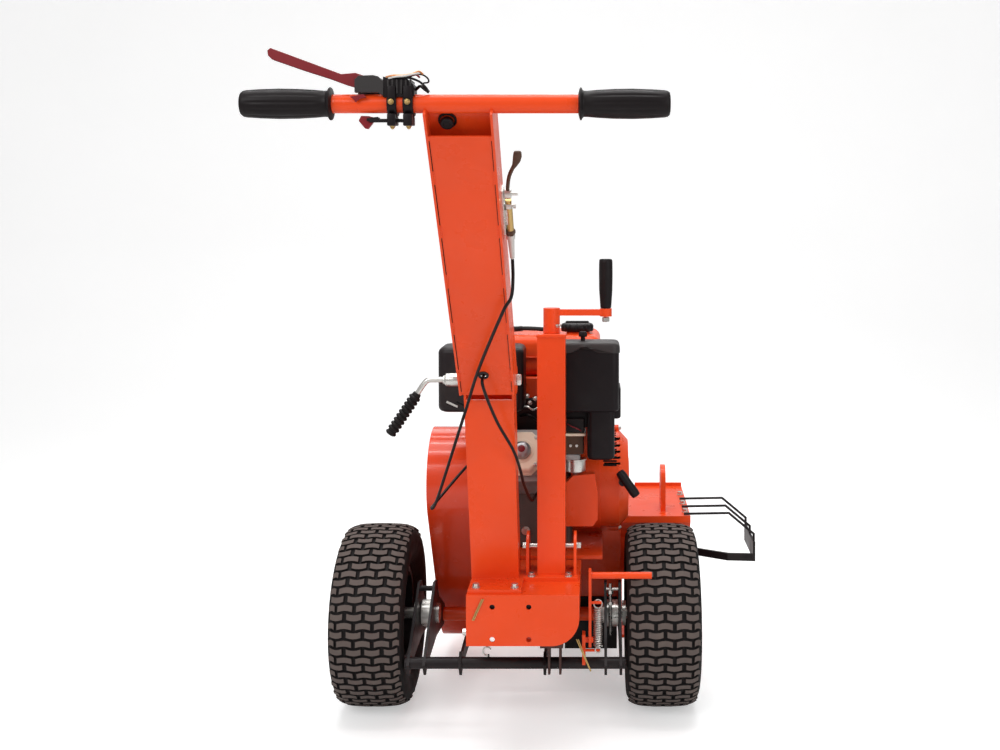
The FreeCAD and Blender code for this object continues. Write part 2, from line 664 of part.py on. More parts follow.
def make_air_cleaner():
    upper = rounded("cleaner_upper", box("cleaner_top", 70, -105, 684, 158, 128, 162), 18,
                    FreeCAD.Vector(0, 0, 1))
    lower = box("cleaner_low", 150, -100, 576, 62, 108, 108)
    knob = rod("cleaner_knob", "z", 146, -40, 846, 7, 18)
    return node(fuse("cleaner", upper, lower, knob), "air_cleaner")


def make_carburetor():
    body = box("carb_body", 100, -70, 572, 49, 58, 96)
    bowl = rod("carb_bowl", "z", 128, -42, 541, 24, 31)
    return node(fuse("carb", body, bowl), "carburetor")


def make_engine_guard():
    guard = prism("guard_box", "XZ", 34,
                  [(108, 520), (124, 536), (172, 540), (179, 500), (179, 436), (168, 421),
                   (108, 421)], 28)
    return node(guard, "engine_guard")


def make_starter_grip():
    """Pull handle at the mouth of the recoil cover, and the cord that it hangs on."""
    leaning = FreeCAD.Rotation(FreeCAD.Vector(0, 1, 0), -35)
    bar = place(rod("pull_bar", "z", 0, 0, 0, 10.5, 66), 31, 0, -29, leaning)
    stem = rod("pull_stem", "y", 0, 0, 0, 9, 22)
    handle = fuse("pull_handle", bar, stem)
    cord_hole = rod("pull_hole", "y", 236, -80, 517, 3, 60)
    node(cut("pull", place(handle, 236, -50, 517), cord_hole), "starter_grip")
    node(rod("cord", "y", 236, -52, 517, 2.5, 44), "starter_rope")


# Carriage and wheels


def arm_plate(x, outer):
    """A side plate: long ones reach up past the axle, short ones join bar and pivot only."""
    if outer:
        points = [(-184, 150), (-165, 122), (-140, 138), (0, 150), (115, 136), (128, 184),
                  (36, 232), (12, 276), (-22, 280), (-42, 262)]
    else:
        points = [(-184, 150), (-165, 122), (-140, 137), (115, 136), (128, 184), (100, 184),
                  (-140, 165), (-165, 174)]
    blank = prism("arm", "YZ", f"{x} - arm_gauge / 2", points, "arm_gauge")
    eye = rod("arm_eye", "x", f"{x} - arm_gauge / 2", "pivot_tube_y", "pivot_tube_z", 25,
              "arm_gauge")
    return fuse("arm_plate", blank, eye)


def make_carriage():
    bar = rod("cross_bar", "x", -240, "bar_rear", "bar_level", "cross_bar_radius", 480)
    plates = [arm_plate(x, True) for x in (-232, -197, 197, 230)]
    plates += [arm_plate(x, False) for x in (-119, 64.6)]
    pivot = rod("carriage_bore", "x", -260, "pivot_tube_y", "pivot_tube_z",
                "pivot_tube_radius + fit", 520)
    axle = rod("axle_hole", "x", -260, 0, "axle_z", "axle_radius", 520)
    spacer = rod("arm_spacer", "x", -229, -18, 266, 6, 29)
    node(cut("carriage", fuse("carriage_solid", bar, *plates, spacer), pivot, axle),
         "carriage_frame")
    hubs = []
    for side in (-1, 1):
        inner = 187
        stub = rod("axle_stub", "x", min(side * inner, side * 398), 0, "axle_z", "axle_radius",
                   398 - inner)
        ring = rod("hub_ring", "x", side * 213.5 - 13, 0, "axle_z", 30, 26)
        low = min(side * 187, side * 194)
        cap = rod("hub_cap", "x", low, 0, "axle_z", 22, 7)
        outer_low = min(side * 236, side * 244)
        collar = rod("hub_collar", "x", outer_low, 0, "axle_z", 28, 8)
        hubs.append(fuse("hub", stub, ring, cap, collar))
    node(group("hubs", *hubs), "axle_hubs")


def make_wheel(name, side):
    """Turf tyre on a flanged rim with a bored hub."""
    half_rim = "rim_width / 2"
    tyre = turned(name + "_tyre_ring", [
        ("-54", "bead_radius"), ("-62", "bead_radius + 8"), ("-74", 136), ("-tyre_width / 2", 162),
        ("-72", 186), ("-50", 199), ("-20", "tyre_radius"), ("20", "tyre_radius"), ("50", 199),
        ("72", 186), ("tyre_width / 2", 162), ("74", 136), ("62", "bead_radius + 8"),
        ("54", "bead_radius"), ("46", "bead_radius"), ("64", 140), ("69", 162), ("60", 180),
        ("0", 191), ("-60", 180), ("-69", 162), ("-64", 140), ("-46", "bead_radius"),
    ])
    node(place(tyre, side * size("wheel_x"), 0, "axle_z"), name + "_tyre")
    rim = turned(name + "_rim_shell", [
        (f"-{half_rim}", "bead_radius - 6"), (f"-{half_rim}", "bead_radius + 5"),
        ("-56.5", "bead_radius"),
        ("-54", "bead_radius"), ("54", "bead_radius"), ("56.5", "bead_radius"),
        (half_rim, "bead_radius + 5"), (half_rim, "bead_radius - 6"), ("3", "bead_radius - 6"),
        ("3", 36), ("40", 30), ("40", "axle_radius + fit"), ("-40", "axle_radius + fit"),
        ("-40", 30), ("-3", 36), ("-3", "bead_radius - 6"),
    ])
    node(place(rim, side * size("wheel_x"), 0, "axle_z"), name + "_rim")


def make_lock_pedal():
    """Foot pedal that locks the wheel hub: its lug, the pedal and the return spring."""
    lug = prism("pedal_lug", "YZ", 146,
                [(-178, 149), (-165, 139), (-150, 149), (-160, 190), (-172, 222), (-198, 222),
                 (-200, 196)], 7)
    pin = rod("pedal_pin", "x", 153, "pedal_y", "pedal_pin_z", "pedal_pin_radius", 17)
    bar_hole = rod("lug_bar_hole", "x", 140, "bar_rear", "bar_level", "cross_bar_radius", 20)
    hook = rod("spring_hook_low", "x", 153, -179, 182, 3, 34)
    node(fuse("pedal_bracket_solid", cut("pedal_lug_bored", lug, bar_hole), pin, hook),
         "pedal_bracket")
    strip = box("pedal_strip", "pedal_x", "pedal_y - 11", 194, 6, 22, 166)
    tread = rod("pedal_rod", "x", "pedal_x + 6", "pedal_y", 347, 7.25, 130)
    high_hook = rod("spring_hook_high", "x", "pedal_x + 6", "pedal_y", 288, 3, 22)
    pin_hole = rod("pedal_pin_hole", "x", 150, "pedal_y", "pedal_pin_z", "pedal_pin_radius + fit", 30)
    node(cut("pedal", fuse("pedal_solid", strip, tread, high_hook), pin_hole), "lock_pedal")
    spring = rod("spring_envelope", "z", 180, -182, 188, 9, 94)
    spring_room = rod("spring_room", "z", 180, -182, 180, 6.5, 110)
    node(cut("spring", spring, spring_room), "return_spring")


# Mast, handlebar and hand controls, drawn upright about the mast pivot and then leaned back

def make_mast():
    """Two side plates with a front web and an inset rear sheet, saddled for the handlebar."""
    inner = "mast_width - 2 * mast_wall"
    depth = "mast_front + mast_rear"
    pieces = []
    for x in ("-mast_width / 2", "mast_width / 2 - mast_wall"):
        pieces.append(box("mast_side", x, "-mast_rear", "mast_start", "mast_wall", depth,
                          "bar_reach - mast_start"))
        pieces.append(box("mast_ear", x, -28, 0, "mast_wall", 48, "mast_start"))
        pieces.append(rod("mast_ear_round", "x", x, 0, 0, 28, "mast_wall"))
    pieces.append(box("mast_web", f"-({inner}) / 2", "mast_front - mast_wall", 62, inner,
                      "mast_wall", "bar_reach - 62"))
    pieces.append(box("switch_plate", f"-({inner}) / 2", "-bar_offset + 1", 640, inner, 3, 48))
    saddle = rod("mast_saddle", "x", -80, "-bar_offset", "bar_reach", "bar_radius", 160)
    bolt_hole = rod("mast_bolt_hole", "x", -80, 0, 0, "clamp_bolt_radius + fit", 160)
    pieces.append(box("rear_sheet", f"-({inner}) / 2", "2 - mast_rear", "mast_start", inner, 3, 639))
    cable_hole = rod("sheet_cable_hole", "y", -3, "-mast_rear", 80, 9, 20)
    switch_hole = rod("switch_hole", "y", -21, "-bar_offset - 2", 672, "5 + fit", 10)
    channel = cut("mast_channel", fuse("mast_solid", *pieces), saddle, bolt_hole, cable_hole,
                  switch_hole)
    above = box("mast_above", -150, f"{BAR_Y} - 60", f"{BAR_Z} + 2", 250, 150, 80)
    node(cut("mast_trimmed", tilted(channel, "mast_lean"), above), "mast")


def make_handlebar():
    tube = rod("bar_tube", "x", "bar_left + 6", BAR_Y, BAR_Z, "bar_radius",
               "bar_right - bar_left - 12")
    bore = rod("bar_bore", "x", "bar_left", BAR_Y, BAR_Z, "bar_radius - 3", "bar_right - bar_left")
    node(cut("bar", tube, bore), "handlebar")
    profile = [
        (0, 0), (0, "grip_radius - 3"), (6, "grip_radius - 1"), (60, "grip_radius + 1"),
        (120, "grip_radius - 0.5"), (134, "grip_radius - 1"), (137, "grip_radius + 4"),
        (143, "grip_radius + 4"), ("grip_length", "grip_radius + 1"),
        ("grip_length", "bar_radius"), (6, "bar_radius"), (6, 0),
    ]
    left = place(turned("left_grip", profile), "bar_left", BAR_Y, BAR_Z)
    right = place(turned("right_grip", profile), "bar_right", BAR_Y, BAR_Z,
                  FreeCAD.Rotation(FreeCAD.Vector(0, 0, 1), 180))
    node(group("grips", left, right), "handle_grips")


def make_hand_lever():
    """Perch clamped to the bar by two bands, the hand lever in its slot, and the lock trigger."""
    body = box("perch_body", -198, f"{BAR_Y} - 18", f"{BAR_Z} + 8", 92, 36, 34)
    bands = [rod("perch_band", "x", x, BAR_Y, BAR_Z, "bar_radius + 5", width)
             for x, width in ((-149, 16), (-124, 19))]
    fork = box("trigger_fork", -180, f"{BAR_Y} - 8", f"{BAR_Z} - 32", 68, 16, 15.5)
    bar_room = rod("perch_bar_room", "x", -220, BAR_Y, BAR_Z, "bar_radius", 140)
    slot = box("perch_slot", -205, f"{BAR_Y} - 8", f"{BAR_Z} + 15", 52, 16, 40)
    trigger_slot = box("trigger_slot", -190, f"{BAR_Y} - 4", f"{BAR_Z} - 40", 28, 8, 40)
    pin = rod("lever_pin", "y", -176, f"{BAR_Y} - 17", f"{BAR_Z} + 29", 3, 34)
    trigger_pin = rod("trigger_pin", "y", -172, f"{BAR_Y} - 8", f"{BAR_Z} - 26", 2, 16)
    shell = cut("perch_shell", fuse("perch_solid", body, *bands, fork), bar_room, slot, trigger_slot)
    node(fuse("perch", shell, pin, trigger_pin), "lever_perch")

    blade = prism(
        "lever_blade", "XZ", f"-({BAR_Y}) - 7",
        [(-182, f"{BAR_Z} + 22"), (-335, f"{BAR_Z} + 82"), (-332, f"{BAR_Z} + 92"),
         (-212, f"{BAR_Z} + 55"), (-176, f"{BAR_Z} + 38")], 14,
    )
    hub = rod("lever_hub", "y", -176, f"{BAR_Y} - 7", f"{BAR_Z} + 29", 9, 14)
    hole = rod("lever_hole", "y", -176, f"{BAR_Y} - 10", f"{BAR_Z} + 29", "3 + fit", 20)
    node(cut("lever", fuse("lever_solid", blade, hub), hole), "hand_lever")

    wedge = prism(
        "trigger_wedge", "XZ", f"-({BAR_Y}) - 3",
        [(-169, f"{BAR_Z} - 22"), (-194, f"{BAR_Z} - 20"), (-187, f"{BAR_Z} - 39"),
         (-172, f"{BAR_Z} - 30")], 6,
    )
    trigger_hole = rod("trigger_hole", "y", -172, f"{BAR_Y} - 10", f"{BAR_Z} - 26", "2 + fit", 20)
    node(cut("trigger", wedge, trigger_hole), "lever_lock")


def make_kill_switch():
    """Push button with its stem through the plate under the handlebar."""
    cap = rod("switch_cap", "y", -21, "-bar_offset - 12", 672, 11, 7)
    stem = rod("switch_stem", "y", -21, "-bar_offset - 12", 672, 5, 20)
    node(tilted(fuse("switch", cap, stem), "mast_lean"), "kill_switch")


def make_cable_lever():
    """Side lever on the mast: bracket with its cable barrel and boot, and the swinging lever."""
    face = "mast_width / 2"
    plate = box("cable_bracket_plate", face, -20, 415, 3, 26, 96)
    block = box("cable_block", f"{face} + 3", -14, 430, 6, 10, 40)
    barrel = rod("cable_barrel", "z", f"{face} + 10", -9, 414, 6.5, 72)
    nut = rod("cable_nut", "z", f"{face} + 10", -9, 404, 8, 10)
    boot = cone("cable_boot", "z", f"{face} + 10", -9, 348, 3.5, 6.5, 56)
    pin = rod("cable_lever_pin", "x", f"{face} + 3", -9, 500, 3, 22)
    bracket = fuse("cable_bracket", plate, block, barrel, nut, boot, pin)
    node(tilted(bracket, "mast_lean"), "cable_lever_bracket")

    hub = rod("cable_hub", "x", f"{face} + 4", -9, 500, 8, 12)
    stem = bent_rod("cable_stem", [(64.5, -9, 500), (67, -9, 536), (82, -9, 572)], 3.2)
    paddle = box("cable_paddle", f"{face} + 22", -12, 562, 14, 6, 30)
    hole = rod("cable_hub_hole", "x", face, -9, 500, "3 + fit", 30)
    lever = cut("cable_lever_cut", fuse("cable_lever_solid", hub, stem, paddle), hole)
    node(tilted(lever, "mast_lean"), "cable_lever")


def make_clamp_lever():
    """Cross bolt that clamps the mast to the post, with a cranked handle and a ribbed grip."""
    left = "post_x - mast_width / 2"
    bolt = rod("clamp_bolt", "x", f"{left} - 20", "pivot_y", "pivot_z", "clamp_bolt_radius",
               "mast_width + 34")
    barrel = rod("clamp_barrel", "x", f"{left} - 36", "pivot_y", "pivot_z", 13, 35.5)
    head = rod("clamp_head", "x", "post_x + mast_width / 2 + 0.5", "pivot_y", "pivot_z", 12, 9)
    y = size("pivot_y")
    z = size("pivot_z")
    start = size("post_x") - size("mast_width") / 2 - 30
    elbow = (start - 44, y, z - 2)
    wrist = (elbow[0] - 62, y, elbow[2] - 92)
    handle = bent_rod("clamp_rod", [(start, y, z), elbow, wrist], 5.5)
    node(fuse("clamp", bolt, barrel, head, handle), "clamp_lever")
    heading = FreeCAD.Vector(wrist[0] - elbow[0], 0, wrist[2] - elbow[2]).normalize()
    knuckle = FreeCAD.Vector(*elbow) + heading * 36
    grip = doc.addObject("Part::Feature", "grip_rubber")
    sleeve = Part.makeCylinder(11.5, 94, knuckle, heading)
    grip.Shape = sleeve.cut(Part.makeCylinder(5.5, (FreeCAD.Vector(*wrist) - knuckle).Length,
                                              knuckle, heading))
    node(grip, "clamp_grip")


def make_cables():
    """Throttle and control cables: down the mast, round the post and forward to the engine."""
    throttle = tube_through("throttle_cable", [
        (26.5, -569.5, 1040), (28, -579, 1005), (25, -585, 972), (9, -580, 944), (-45, -470, 830),
        (-80, -400, 735), (-150, -290, 540), (-166, -262, 514), (-150, -215, 530),
        (-109, -145, 572), (-80, -10, 585),
    ], 3)
    control = tube_through("control_cable", [
        (-41, -422, 813), (-40, -446, 792), (-20, -384, 716), (9, -334, 648), (21, -298, 600),
        (26, -262, 562), (37, -190, 512), (46, -128, 512), (80, -92, 552), (104, -79, 588),
    ], 3)
    node(group("cables", throttle, control), "control_cables")


def make_fasteners():
    bolts = []
    for x in (-72, 8):
        bolts.append(hex_bolt("post_bolt", "z", x, -284, "base_top + 8", 7))
    for x in (38, 117):
        bolts.append(hex_bolt("jack_bolt", "z", x, "jack_y - 43", "jack_foot", 6.5))
    for y in (215, 300, 400):
        bolts.append(hex_bolt("house_bolt", "z", 397, y, "house_top", 6.5))
    bolts.append(hex_bolt("base_nut", "x", "base_left", -292, 262, 7, -1))
    for x, z in ((12, 392), (-44, 402)):
        bolts.append(hex_bolt("oil_plug", "y", x, 10, z, 8, -1))
    for x, sense in ((26, -1), (134, 1)):
        bolts.append(hex_bolt("jack_pin_head", "x", x, "jack_y", "jack_foot + 54", 7, sense))
    for x in (26, 110):
        bolts.append(rod("jack_pin", "x", x, "jack_y", "jack_foot + 54", 6, 24))
    node(group("bolts", *bolts), "frame_bolts")


def make_clips():
    """Lock link beside the hub, safety ring on the cross bar and the pedal lug's hairpin."""
    ring = doc.addObject("Part::Torus", "ring_loop")
    bind(ring, Radius1=8, Radius2=2)
    place(ring, -61, "bar_rear", "bar_level + cross_bar_radius + 13", ALONG["y"])
    foot = rod("ring_foot", "z", -61, "bar_rear", "bar_level + cross_bar_radius", 2, 5)
    hairpin = bent_rod("hairpin", [(136, -206, 212), (148, -206, 186), (166, -196, 143)], 1.5)
    link = rod("link_rod", "z", 208, -42, 166, 4, 118)
    cross = rod("link_cross", "x", 201, -42, 272, 3, 24)
    node(group("clips", fuse("safety_ring", ring, foot), hairpin, fuse("link", link, cross)),
         "lock_link_and_clips")


make_mast()
make_handlebar()
make_hand_lever()
make_kill_switch()
make_cable_lever()
make_clamp_lever()
make_cables()
make_fasteners()
make_clips()
make_handle_post()
make_jack()
make_crankcase()
make_cylinder()
make_fan_shroud()
make_recoil_cover()
make_crankshaft()
make_fuel_system()
make_muffler()
make_air_cleaner()
make_carburetor()
make_engine_guard()
make_starter_grip()
make_carriage()
make_wheel("left", -1)
make_wheel("right", 1)
make_lock_pedal()
make_base_box()
make_chassis()
make_cutter_housing()
make_debris_guard()
make_rubber_flaps()
make_skid_shoes()
make_belt_cover()
make_belt_backplate()
make_drive_belts()
make_pulley("drive_pulley", "drive_pulley_radius", "shaft_radius", "crank_y", "crank_z")
make_pulley("driven_pulley", "driven_pulley_radius", "cutter_shaft_radius", "cutter_y", "cutter_z")
make_cutter()


doc.recompute()
for item in doc.Objects:
    if "Invalid" in item.State or "Error" in item.State:
        raise RuntimeError(f"{item.Label} failed: {item.State}")
for item in nodes:
    if item.Shape.isNull() or not item.Shape.isValid():
        raise RuntimeError(f"{item.Label} has no valid shape")

os.makedirs("parts", exist_ok=True)
for item in nodes:
    item.Shape.exportStep(os.path.join("parts", item.Label + ".step"))
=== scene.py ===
import json
import math

import bmesh
import bpy
from mathutils import Matrix, Vector


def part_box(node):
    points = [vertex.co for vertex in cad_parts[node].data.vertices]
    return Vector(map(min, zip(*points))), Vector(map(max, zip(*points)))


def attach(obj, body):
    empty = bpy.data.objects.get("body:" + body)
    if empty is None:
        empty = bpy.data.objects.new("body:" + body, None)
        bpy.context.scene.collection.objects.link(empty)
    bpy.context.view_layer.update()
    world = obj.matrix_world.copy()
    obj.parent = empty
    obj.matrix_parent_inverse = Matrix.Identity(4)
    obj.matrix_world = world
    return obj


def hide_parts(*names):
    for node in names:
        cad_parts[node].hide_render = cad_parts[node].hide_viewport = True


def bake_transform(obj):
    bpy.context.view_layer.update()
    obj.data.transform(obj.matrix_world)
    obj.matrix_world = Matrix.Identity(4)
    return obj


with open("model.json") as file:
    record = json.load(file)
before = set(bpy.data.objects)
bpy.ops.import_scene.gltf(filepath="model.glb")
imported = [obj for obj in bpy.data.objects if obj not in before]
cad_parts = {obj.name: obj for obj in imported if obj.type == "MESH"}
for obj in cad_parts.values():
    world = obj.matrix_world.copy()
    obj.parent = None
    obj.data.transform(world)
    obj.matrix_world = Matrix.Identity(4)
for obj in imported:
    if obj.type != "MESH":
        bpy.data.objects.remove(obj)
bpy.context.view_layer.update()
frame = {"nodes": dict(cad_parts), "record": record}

# Lengths below are millimetres from the ground point under the axle, midway between the wheels.
LEFT_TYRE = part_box("left_tyre")
RIGHT_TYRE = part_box("right_tyre")
DATUM = Vector((
    (LEFT_TYRE[0].x + RIGHT_TYRE[1].x) / 2,
    (LEFT_TYRE[0].y + LEFT_TYRE[1].y) / 2,
    LEFT_TYRE[0].z,
))
MM = 0.001


def at(x, y, z):
    return DATUM + Vector((x, y, z)) * MM


def lean_frame(x, y, z, degrees):
    """A frame drawn upright, leaned about X, then carried to a point in millimetres."""
    return Matrix.Translation(Vector((x, y, z))) @ Matrix.Rotation(math.radians(degrees), 4, "X")


MAST = lean_frame(-38, -332, 790, 42)
CRANK_Y, CRANK_Z = 105, 495
HEAD = lean_frame(10, CRANK_Y, CRANK_Z, 62)
BAR_Y, BAR_Z = -825.36, 1293.1
HUB_X, HUB_Z = 325, 203

# ---------------------------------------------------------------- materials


class Shader:
    """A Principled material with a few node helpers; textures follow the piece's own space."""

    def __init__(self, name):
        self.material = bpy.data.materials.new(name)
        self.material.use_nodes = True
        self.tree = self.material.node_tree
        self.surface = self.tree.nodes["Principled BSDF"]
        self.coords = self.node("ShaderNodeTexCoord").outputs["Object"]

    def node(self, kind, inputs=None, **settings):
        made = self.tree.nodes.new(kind)
        for key, value in settings.items():
            setattr(made, key, value)
        for key, value in (inputs or {}).items():
            self.feed(made, key, value)
        return made

    def feed(self, node, key, value):
        if isinstance(value, bpy.types.NodeSocket):
            self.tree.links.new(value, node.inputs[key])
        else:
            node.inputs[key].default_value = value

    def stretched(self, x, y, z):
        mapping = self.node("ShaderNodeMapping", {"Vector": self.coords, "Scale": (x, y, z)})
        return mapping.outputs["Vector"]

    def noise(self, scale, detail=4.0, roughness=0.6, vector=None):
        made = self.node("ShaderNodeTexNoise", {
            "Vector": vector or self.coords, "Scale": scale, "Detail": detail,
            "Roughness": roughness,
        })
        return made.outputs["Fac"]

    def spread(self, value, low, high, start, end):
        """Map a 0-1 value between two thresholds to a new range."""
        made = self.node("ShaderNodeMapRange", {
            "Value": value, "From Min": low, "From Max": high, "To Min": start, "To Max": end,
        })
        return made.outputs["Result"]

    def mix(self, factor, first, second):
        made = self.node("ShaderNodeMix", data_type="RGBA")
        self.feed(made, 0, factor)
        for slot, colour in ((6, first), (7, second)):
            if isinstance(colour, bpy.types.NodeSocket):
                self.tree.links.new(colour, made.inputs[slot])
            else:
                made.inputs[slot].default_value = (*colour, 1)
        return made.outputs[2]

    def edge_normal(self, radius_mm):
        made = self.node("ShaderNodeBevel", {"Radius": radius_mm * MM}, samples=4)
        return made.outputs["Normal"]

    def edge_mask(self, rounded):
        """Nearly 1 on flat faces, falling along sharp edges."""
        geometry = self.node("ShaderNodeNewGeometry")
        dot = self.node("ShaderNodeVectorMath", operation="DOT_PRODUCT")
        self.tree.links.new(rounded, dot.inputs[0])
        self.tree.links.new(geometry.outputs["Normal"], dot.inputs[1])
        return dot.outputs["Value"]

    def bump(self, height, strength, distance_mm, normal=None):
        made = self.node("ShaderNodeBump", {
            "Height": height, "Strength": strength, "Distance": distance_mm * MM,
        })
        if normal is not None:
            self.tree.links.new(normal, made.inputs["Normal"])
        return made.outputs["Normal"]

    def output(self, **inputs):
        for key, value in inputs.items():
            self.feed(self.surface, key.replace("_", " "), value)
        return self.material


def paint(name, colour, gloss=0.28, edge=1.25, coat=0.35, edge_mm=1.6):
    """Powder coat: slow colour drift, orange peel, and a thin painted highlight mixed with wear
    along edges.
    """
    s = Shader(name)
    drift = s.mix(s.spread(s.noise(3.0), 0.35, 0.7, 0, 1), tuple(c * 0.95 for c in colour),
                  tuple(min(1, c * 1.05) for c in colour))
    dust = s.mix(s.spread(s.noise(9.0, 6), 0.45, 0.9, 0, 0.05), drift, (0.45, 0.36, 0.3))
    rounded = s.edge_normal(edge_mm)
    # Edges get a lighter tint of the colour: partly wear, partly a painted highlight.
    rim = s.spread(s.edge_mask(rounded), 0.86, 0.99, 1, 0)
    worn_and_highlit = s.mix(rim, dust, tuple(min(1, c * edge + 0.02) for c in colour))
    rough = s.spread(s.noise(14.0, 5), 0.3, 0.75, gloss - 0.05, gloss + 0.12)
    peel = s.bump(s.noise(260.0, 2), 0.12, 0.25, rounded)
    return s.output(Base_Color=worn_and_highlit, Roughness=rough, Normal=peel, Coat_Weight=coat,
                    Coat_Roughness=0.1, Specular_IOR_Level=0.22)


def metal(name, colour, rough=0.32, brushed=(1, 1, 1)):
    """Plated or bare metal: fine streaks and a few duller, stained patches."""
    s = Shader(name)
    streak = s.noise(120.0, 3, 0.5, s.stretched(*brushed))
    patch = s.spread(s.noise(22.0, 5), 0.5, 0.8, 0, 0.25)
    base = s.mix(streak, tuple(c * 0.82 for c in colour), colour)
    tone = s.mix(patch, base, (0.2, 0.17, 0.13))
    rounded = s.edge_normal(0.7)
    rough_map = s.spread(s.noise(40.0, 4), 0.3, 0.75, rough - 0.08, rough + 0.14)
    return s.output(Base_Color=tone, Metallic=0.92, Roughness=rough_map,
                    Normal=s.bump(streak, 0.15, 0.15, rounded))


def moulded(name, colour, rough=0.5, grain=420.0, strength=0.2, dust=0.12,
            dusty=(0.16, 0.14, 0.12)):
    """Rubber or plastic: fine moulded grain with a breath of dust."""
    s = Shader(name)
    cloud = s.spread(s.noise(16.0, 6), 0.5, 0.85, 0, dust)
    tone = s.mix(cloud, colour, dusty)
    rounded = s.edge_normal(1.0)
    rough_map = s.spread(s.noise(30.0, 4), 0.3, 0.7, rough - 0.08, rough + 0.1)
    return s.output(Base_Color=tone, Roughness=rough_map, Specular_IOR_Level=0.2,
                    Normal=s.bump(s.noise(grain, 2), strength, 0.2, rounded))


def casting(name, colour, rough):
    """Sand-cast alloy: pitted surface with darker soil in the hollows."""
    s = Shader(name)
    grains = s.noise(330.0, 3)
    soil = s.spread(s.noise(20.0, 6), 0.42, 0.75, 0, 0.4)
    tone = s.mix(soil, s.mix(grains, tuple(c * 0.8 for c in colour), colour), (0.07, 0.055, 0.05))
    rounded = s.edge_normal(1.0)
    rough_map = s.spread(grains, 0.3, 0.7, rough, rough + 0.2)
    return s.output(Base_Color=tone, Metallic=0.55, Roughness=rough_map,
                    Normal=s.bump(grains, 0.5, 0.3, rounded))


ORANGE = paint("orange_paint", (0.80, 0.066, 0.009), coat=0.08)
GLOSSY_ORANGE = paint("gloss_orange_paint", (0.72, 0.05, 0.008), gloss=0.2, coat=0.45)
BLACK = paint("black_paint", (0.009, 0.005, 0.006), gloss=0.4, edge=2.2, coat=0.05, edge_mm=1.0)
RED = paint("red_lever", (0.20, 0.010, 0.016), gloss=0.34, edge=1.3, coat=0.1)
CREAM = paint("cover_cream", (0.95, 0.80, 0.62), gloss=0.3, edge=1.1, coat=0.2)
ZINC = metal("zinc", (0.72, 0.70, 0.66), 0.28)
BRASS = metal("brass", (0.62, 0.42, 0.16), 0.3)
STEEL = metal("raw_steel", (0.40, 0.40, 0.41), 0.36, (1, 1, 12))
ALLOY = casting("cast_alloy", (0.46, 0.45, 0.44), 0.42)
DARK_ALLOY = casting("dark_alloy", (0.11, 0.085, 0.075), 0.5)
PLASTIC = moulded("black_plastic", (0.0065, 0.0035, 0.0045), 0.42, 500.0, 0.25, 0.03)
GREY_PLASTIC = moulded("grey_plastic", (0.035, 0.031, 0.031), 0.42, 500.0, 0.25, 0.08)
GRIP = moulded("grip_rubber", (0.006, 0.0035, 0.004), 0.48, 300.0, 0.2, 0.03)
RUBBER = moulded("flap_rubber", (0.02, 0.019, 0.019), 0.6, 200.0, 0.3, 0.15)
BELT = moulded("belt_rubber", (0.03, 0.03, 0.03), 0.7, 350.0, 0.4, 0.1)
SHEATH = moulded("cable_sheath", (0.005, 0.003, 0.003), 0.34, 200.0, 0.1, 0.02)
TREAD = moulded("tread_top", (0.105, 0.082, 0.074), 0.75, 260.0, 0.35, 0.5, (0.15, 0.12, 0.1))
CARCASS = moulded("tyre_rubber", (0.009, 0.007, 0.007), 0.7, 180.0, 0.3, 0.15, (0.03, 0.024, 0.02))
BROWN = moulded("insulator_brown", (0.09, 0.05, 0.032), 0.5, 260.0, 0.3, 0.1)
COPPER = metal("copper", (0.6, 0.25, 0.1), 0.4)
# Dark reddish brown for the jack's inner tube: orange paint darkened by painted shade.
SHADED_TUBE = metal("shaded_orange_tube", (0.10, 0.055, 0.05), 0.5)
WHITE = moulded("white_plastic", (0.62, 0.61, 0.58), 0.4, 300.0, 0.1, 0.1)
# Near black standing in for the shade inside slots, gaps and openings: painted shade.
SHADE_FILL = moulded("painted_shade_fill", (0.006, 0.006, 0.006), 0.9, 200.0, 0.1, 0.0)

SLOT_MATERIAL = {
    "orange_paint": ORANGE, "black_paint": BLACK, "red_lever": RED, "zinc": ZINC,
    "raw_steel": STEEL, "cast_alloy": ALLOY, "dark_alloy": DARK_ALLOY, "cover_cream": CREAM,
    "tyre_rubber": CARCASS, "flap_rubber": RUBBER, "black_plastic": PLASTIC,
    "grip_rubber": GRIP, "belt_rubber": BELT, "cable_sheath": SHEATH,
}
for part in frame["record"]["subparts"]:
    shown = frame["nodes"][part["node"]]
    shown.data.materials.clear()
    shown.data.materials.append(SLOT_MATERIAL[part["material_slot"]])

# The belt cover gets the glossier paint; the jack's inner tube gets a dark tone that is painted
# shade on orange paint.
for name, finish_and_shade in (("belt_cover", GLOSSY_ORANGE), ("jack_inner_tube", SHADED_TUBE)):
    frame["nodes"][name].data.materials[0] = finish_and_shade

# ---------------------------------------------------------------- mesh helpers


